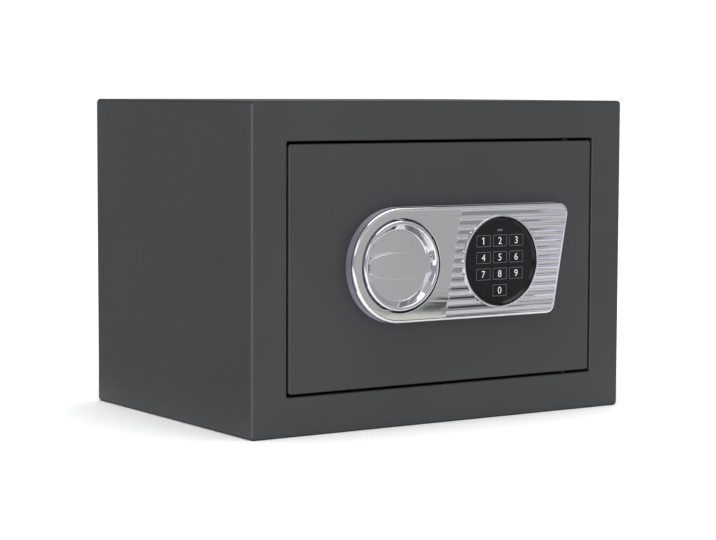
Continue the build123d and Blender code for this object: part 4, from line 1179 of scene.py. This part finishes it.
def figure_faces(work, digit, centre_x, centre_z, front):
    """Adds a figure as a thin raised print to a mesh in the making. The 1 is drawn with a flag."""
    if digit == 1:
        points = [
            (centre_x + x * figure_height, centre_z + (z - 0.5) * figure_height) for x, z in one_outline
        ]
        slab(work, lambda inset: points, [], front - print_height, front + print_height)
        return
    curve = bpy.data.curves.new("figure", "FONT")
    curve.body = str(digit)
    curve.size = letter_size
    curve.extrude = print_height
    curve.offset = -figure_thinning
    curve.resolution_u = 6
    mesh = baked(new_object("figure", curve))
    across = [v.co.x for v in mesh.vertices]
    upright = [v.co.y for v in mesh.vertices]
    middle = Vector(((min(across) + max(across)) / 2, (min(upright) + max(upright)) / 2, 0))
    stand = Matrix.Translation((centre_x, -front, centre_z)) @ Matrix.Rotation(math.pi / 2, 4, "X")
    mesh.transform(stand @ Matrix.Translation(-middle))
    work.from_mesh(mesh)


def key_cap(work, key, digit):
    """A key: a cap with softened edges on a wider flange, its outline and its figure."""
    x, z, width, height = key
    face_back = face_front - face_sheet
    cap_front = face_front + key_proud
    levels = [
        (face_back - key_flange, -flange_reach), (face_back, -flange_reach), (face_back, 0.0),
        (cap_front - key_edge, 0.0), (cap_front - 0.3 * key_edge, 0.3 * key_edge), (cap_front, key_edge),
    ]
    rings = [
        ring_of(work, rounded_box(x, z, width - 2 * inset, height - 2 * inset, key_corner - inset), front)
        for front, inset in levels
    ]
    for first, second in zip(rings, rings[1:]):
        bridge(work, first, second)
    cap(work, [rings[0]])
    cap(work, [rings[-1]])
    plain = set(work.faces)
    figure_faces(work, digit, x, z, cap_front)
    for made in set(work.faces) - plain:
        made.material_index = 1
    plain = set(work.faces)
    line_corner = key_corner - line_inset
    line = [
        lambda inset, edge=edge: rounded_box(x, z, width - 2 * edge, height - 2 * edge, line_corner)
        for edge in (line_inset, line_inset + line_width)
    ]
    slab(work, line[0], line[1:], cap_front - print_height, cap_front + print_height)
    for made in set(work.faces) - plain:
        made.material_index = 2


for digit, key in keys.items():
    key_object = solid(f"key_{digit}", lambda work: key_cap(work, key, digit))
    dressed(f"key_{digit}", carved(key_object), gloss_black, white_ink, grey_ink)

# Status light: a light guide moulded in smoked acrylic, a glossy flat grey while it is off. It stands
# on the circuit board and ends flush with the face, above the keys.
finished("status_led", mottled(
    "smoked_acrylic", ("#56575C", "#6B6C71"), (0.15, 0.25), 2 * mm, 2 * mm, 0.0, {"IOR": 1.49}
))

# Inner cover: a flat steel sheet over the bolt work, coated like the door and cut for the battery box
# and the reset button. Six screws in its rim hold it.
finished("inner_cover", powder_coat, 0.25 * mm)
drive_screws("cover_screws", 3)

# Battery box: a black moulded tray with rails, four cells in shrunk sleeves, which shine in soft
# wrinkles, a bright nickel plated strip behind each end of each cell, with a dimple or a coiled spring,
# and a lid with a ribbed thumb pad.
finished("battery_box", black_abs, 0.3 * mm)
finished("battery_lid", black_abs, 0.3 * mm)
blue_sleeve = mottled(
    "blue_shrink_sleeve", ("#26456F", "#2F517F"), (0.24, 0.34), 12 * mm, 4 * mm, 0.02 * mm, {"IOR": 1.5}
)
silver_sleeve = mottled(
    "silver_shrink_sleeve", ("#A6ABB1", "#B9BDC2"), (0.3, 0.4), 12 * mm, 4 * mm, 0.02 * mm,
    {"Metallic": 0.7},
)
steel_can = mottled(
    "nickel_plated_can", ("#BDBDBB", "#CFCFCC"), (0.2, 0.3), 5 * mm, 1 * mm, 0.0, {"Metallic": 1.0}
)
cap_height = 1.3 * mm
cap_radius = 2.6 * mm
cap_groove = 3.3 * mm
sleeve_fold = 0.6 * mm
silver_length = 12.0 * mm
cell_steel_radius = 4.6 * mm
cell_step = 0.3 * mm
cell_recess = 0.2 * mm
cell_boxes = solids_of("battery_cells")


def cells(work):
    """Four cells, each a can in a sleeve with a raised cap at alternate ends."""
    middle = sum(middle_of(*box)[2] for box in cell_boxes) / len(cell_boxes)
    for low, high in cell_boxes:
        x, y = middle_of(low, high)[:2]
        way = 1 if high.z - middle > middle - low.z else -1
        radius = (high.x - low.x) / 2
        length = high.z - low.z
        can = length - cap_height
        start = (x, y, low.z if way > 0 else high.z)
        profile = [
            (0, cell_recess), (cell_steel_radius, cell_recess), (cell_steel_radius + cell_step, 0),
            (radius - sleeve_fold, 0), (radius, sleeve_fold), (radius, can - silver_length),
            (radius, can - sleeve_fold), (radius - sleeve_fold, can), (cap_groove + cell_step, can),
            (cap_groove, can - cell_step), (cap_radius, can - cell_step),
            (cap_radius, length - cell_step), (cap_radius - cell_step, length), (0, length),
        ]
        known = set(work.faces)
        turned(work, profile, start, (0, 0, way))
        for face in set(work.faces) - known:
            spot = face.calc_center_median()
            reach = math.hypot(spot.x - x, spot.y - y)
            height = abs(spot.z - start[2])
            steel_radius = cap_groove + cell_recess if height > can / 2 else cell_steel_radius + slack
            if reach < steel_radius:
                face.material_index = 2
            elif height > can - silver_length:
                face.material_index = 1


dressed("battery_cells", carved(solid("cells", cells)), blue_sleeve, silver_sleeve, steel_can)

spring_wire = 0.35 * mm
spring_turns = 3.0
spring_tip = 2.6 * mm
spring_foot = 3.8 * mm
contact_sheet = 0.5 * mm
dimple_radius = 2.2 * mm
dimple_flat = 1.4 * mm
dimple_round = 0.8 * mm
dimple_step = 0.2 * mm
springs_tree, given = new_tree("contact_springs", {
    "Turns": "Float", "Tip Radius": "Float", "Foot Radius": "Float", "Height": "Float", "Wire": "Float",
    "Material": "Material",
})
spiral = add_node(springs_tree, "GeometryNodeCurveSpiral", {
    "Resolution": 20, "Rotations": given["Turns"], "Start Radius": given["Tip Radius"],
    "End Radius": given["Foot Radius"], "Height": given["Height"],
})
section = add_node(springs_tree, "GeometryNodeCurvePrimitiveCircle", {
    "Resolution": 8, "Radius": given["Wire"],
})
tube = add_node(springs_tree, "GeometryNodeCurveToMesh", {
    "Curve": spiral.outputs[0], "Profile Curve": section.outputs[0], "Fill Caps": True,
})
spots = add_node(springs_tree, "GeometryNodeMeshToPoints", {"Mesh": given["Geometry"]})
coils = add_node(springs_tree, "GeometryNodeInstanceOnPoints", {
    "Points": spots.outputs[0], "Instance": tube.outputs[0],
})
end_tree(springs_tree, coils.outputs[0], given["Material"])

contact_boxes = solids_of("battery_contacts")
cells_low, cells_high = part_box("battery_cells")
cells_middle = (cells_low.z + cells_high.z) / 2
shortest = min(high.z - low.z for low, high in contact_boxes)
dimples = []
spring_seats = {1: [], -1: []}
for low, high in contact_boxes:
    x, y = middle_of(low, high)[:2]
    side = 1 if low.z > cells_middle else -1
    back = high.z if side > 0 else low.z
    reach = high.z - low.z
    if reach > shortest + contact_sheet:
        spring_seats[side].append((x, y, side * back))
        spring_height = reach - contact_sheet
    else:
        dimples.append(((x, y, back), side, reach))


def strips(work):
    """The flat strips on the end walls, with a round dimple where a cell's cap meets one."""
    for low, high in contact_boxes:
        x, y = middle_of(low, high)[:2]
        side = 1 if low.z > cells_middle else -1
        back = high.z if side > 0 else low.z
        made = bmesh.ops.create_cube(work, size=1.0)["verts"]
        bmesh.ops.scale(work, vec=(high.x - low.x, high.y - low.y, contact_sheet), verts=made)
        bmesh.ops.translate(work, vec=(x, y, back - side * contact_sheet / 2), verts=made)
    for spot, side, reach in dimples:
        dome = [
            (0, contact_sheet / 2), (dimple_radius, contact_sheet / 2),
            (dimple_radius, contact_sheet + dimple_step),
            *arc((dimple_flat, reach - dimple_round), dimple_round, 0, 90), (0, reach),
        ]
        turned(work, dome, spot, (0, 0, -side), 24)


contact_mesh = carved(solid("contact_strips", strips))
work = bmesh.new()
work.from_mesh(contact_mesh)
for side, seats in spring_seats.items():
    points = bpy.data.meshes.new("spring_spots")
    points.from_pydata([
        (x, y, z - contact_sheet - spring_height + spring_wire) for x, y, z in seats
    ], [], [])
    mesh = grown("springs", points, springs_tree, {
        "Turns": spring_turns, "Tip Radius": spring_tip, "Foot Radius": spring_foot,
        "Height": spring_height - spring_wire, "Wire": spring_wire, "Material": steel_can,
    })
    if side < 0:
        mesh.transform(Matrix.Scale(-1, 4, (0, 0, 1)))
        mesh.flip_normals()
    work.from_mesh(mesh)
work.to_mesh(contact_mesh)
work.free()
dressed("battery_contacts", contact_mesh, steel_can)

# Code reset: a red button, moulded in ABS and dulled where a finger touches it, and the small board
# behind it that carries its switch.
finished("reset_button", mottled(
    "red_abs", ("#A81E1A", "#B8241F"), (0.24, 0.4), 2.5 * mm, 2.5 * mm, 0.0, {"IOR": 1.53}
), 0.15 * mm)
finished("reset_board", solder_mask, 0.1 * mm)
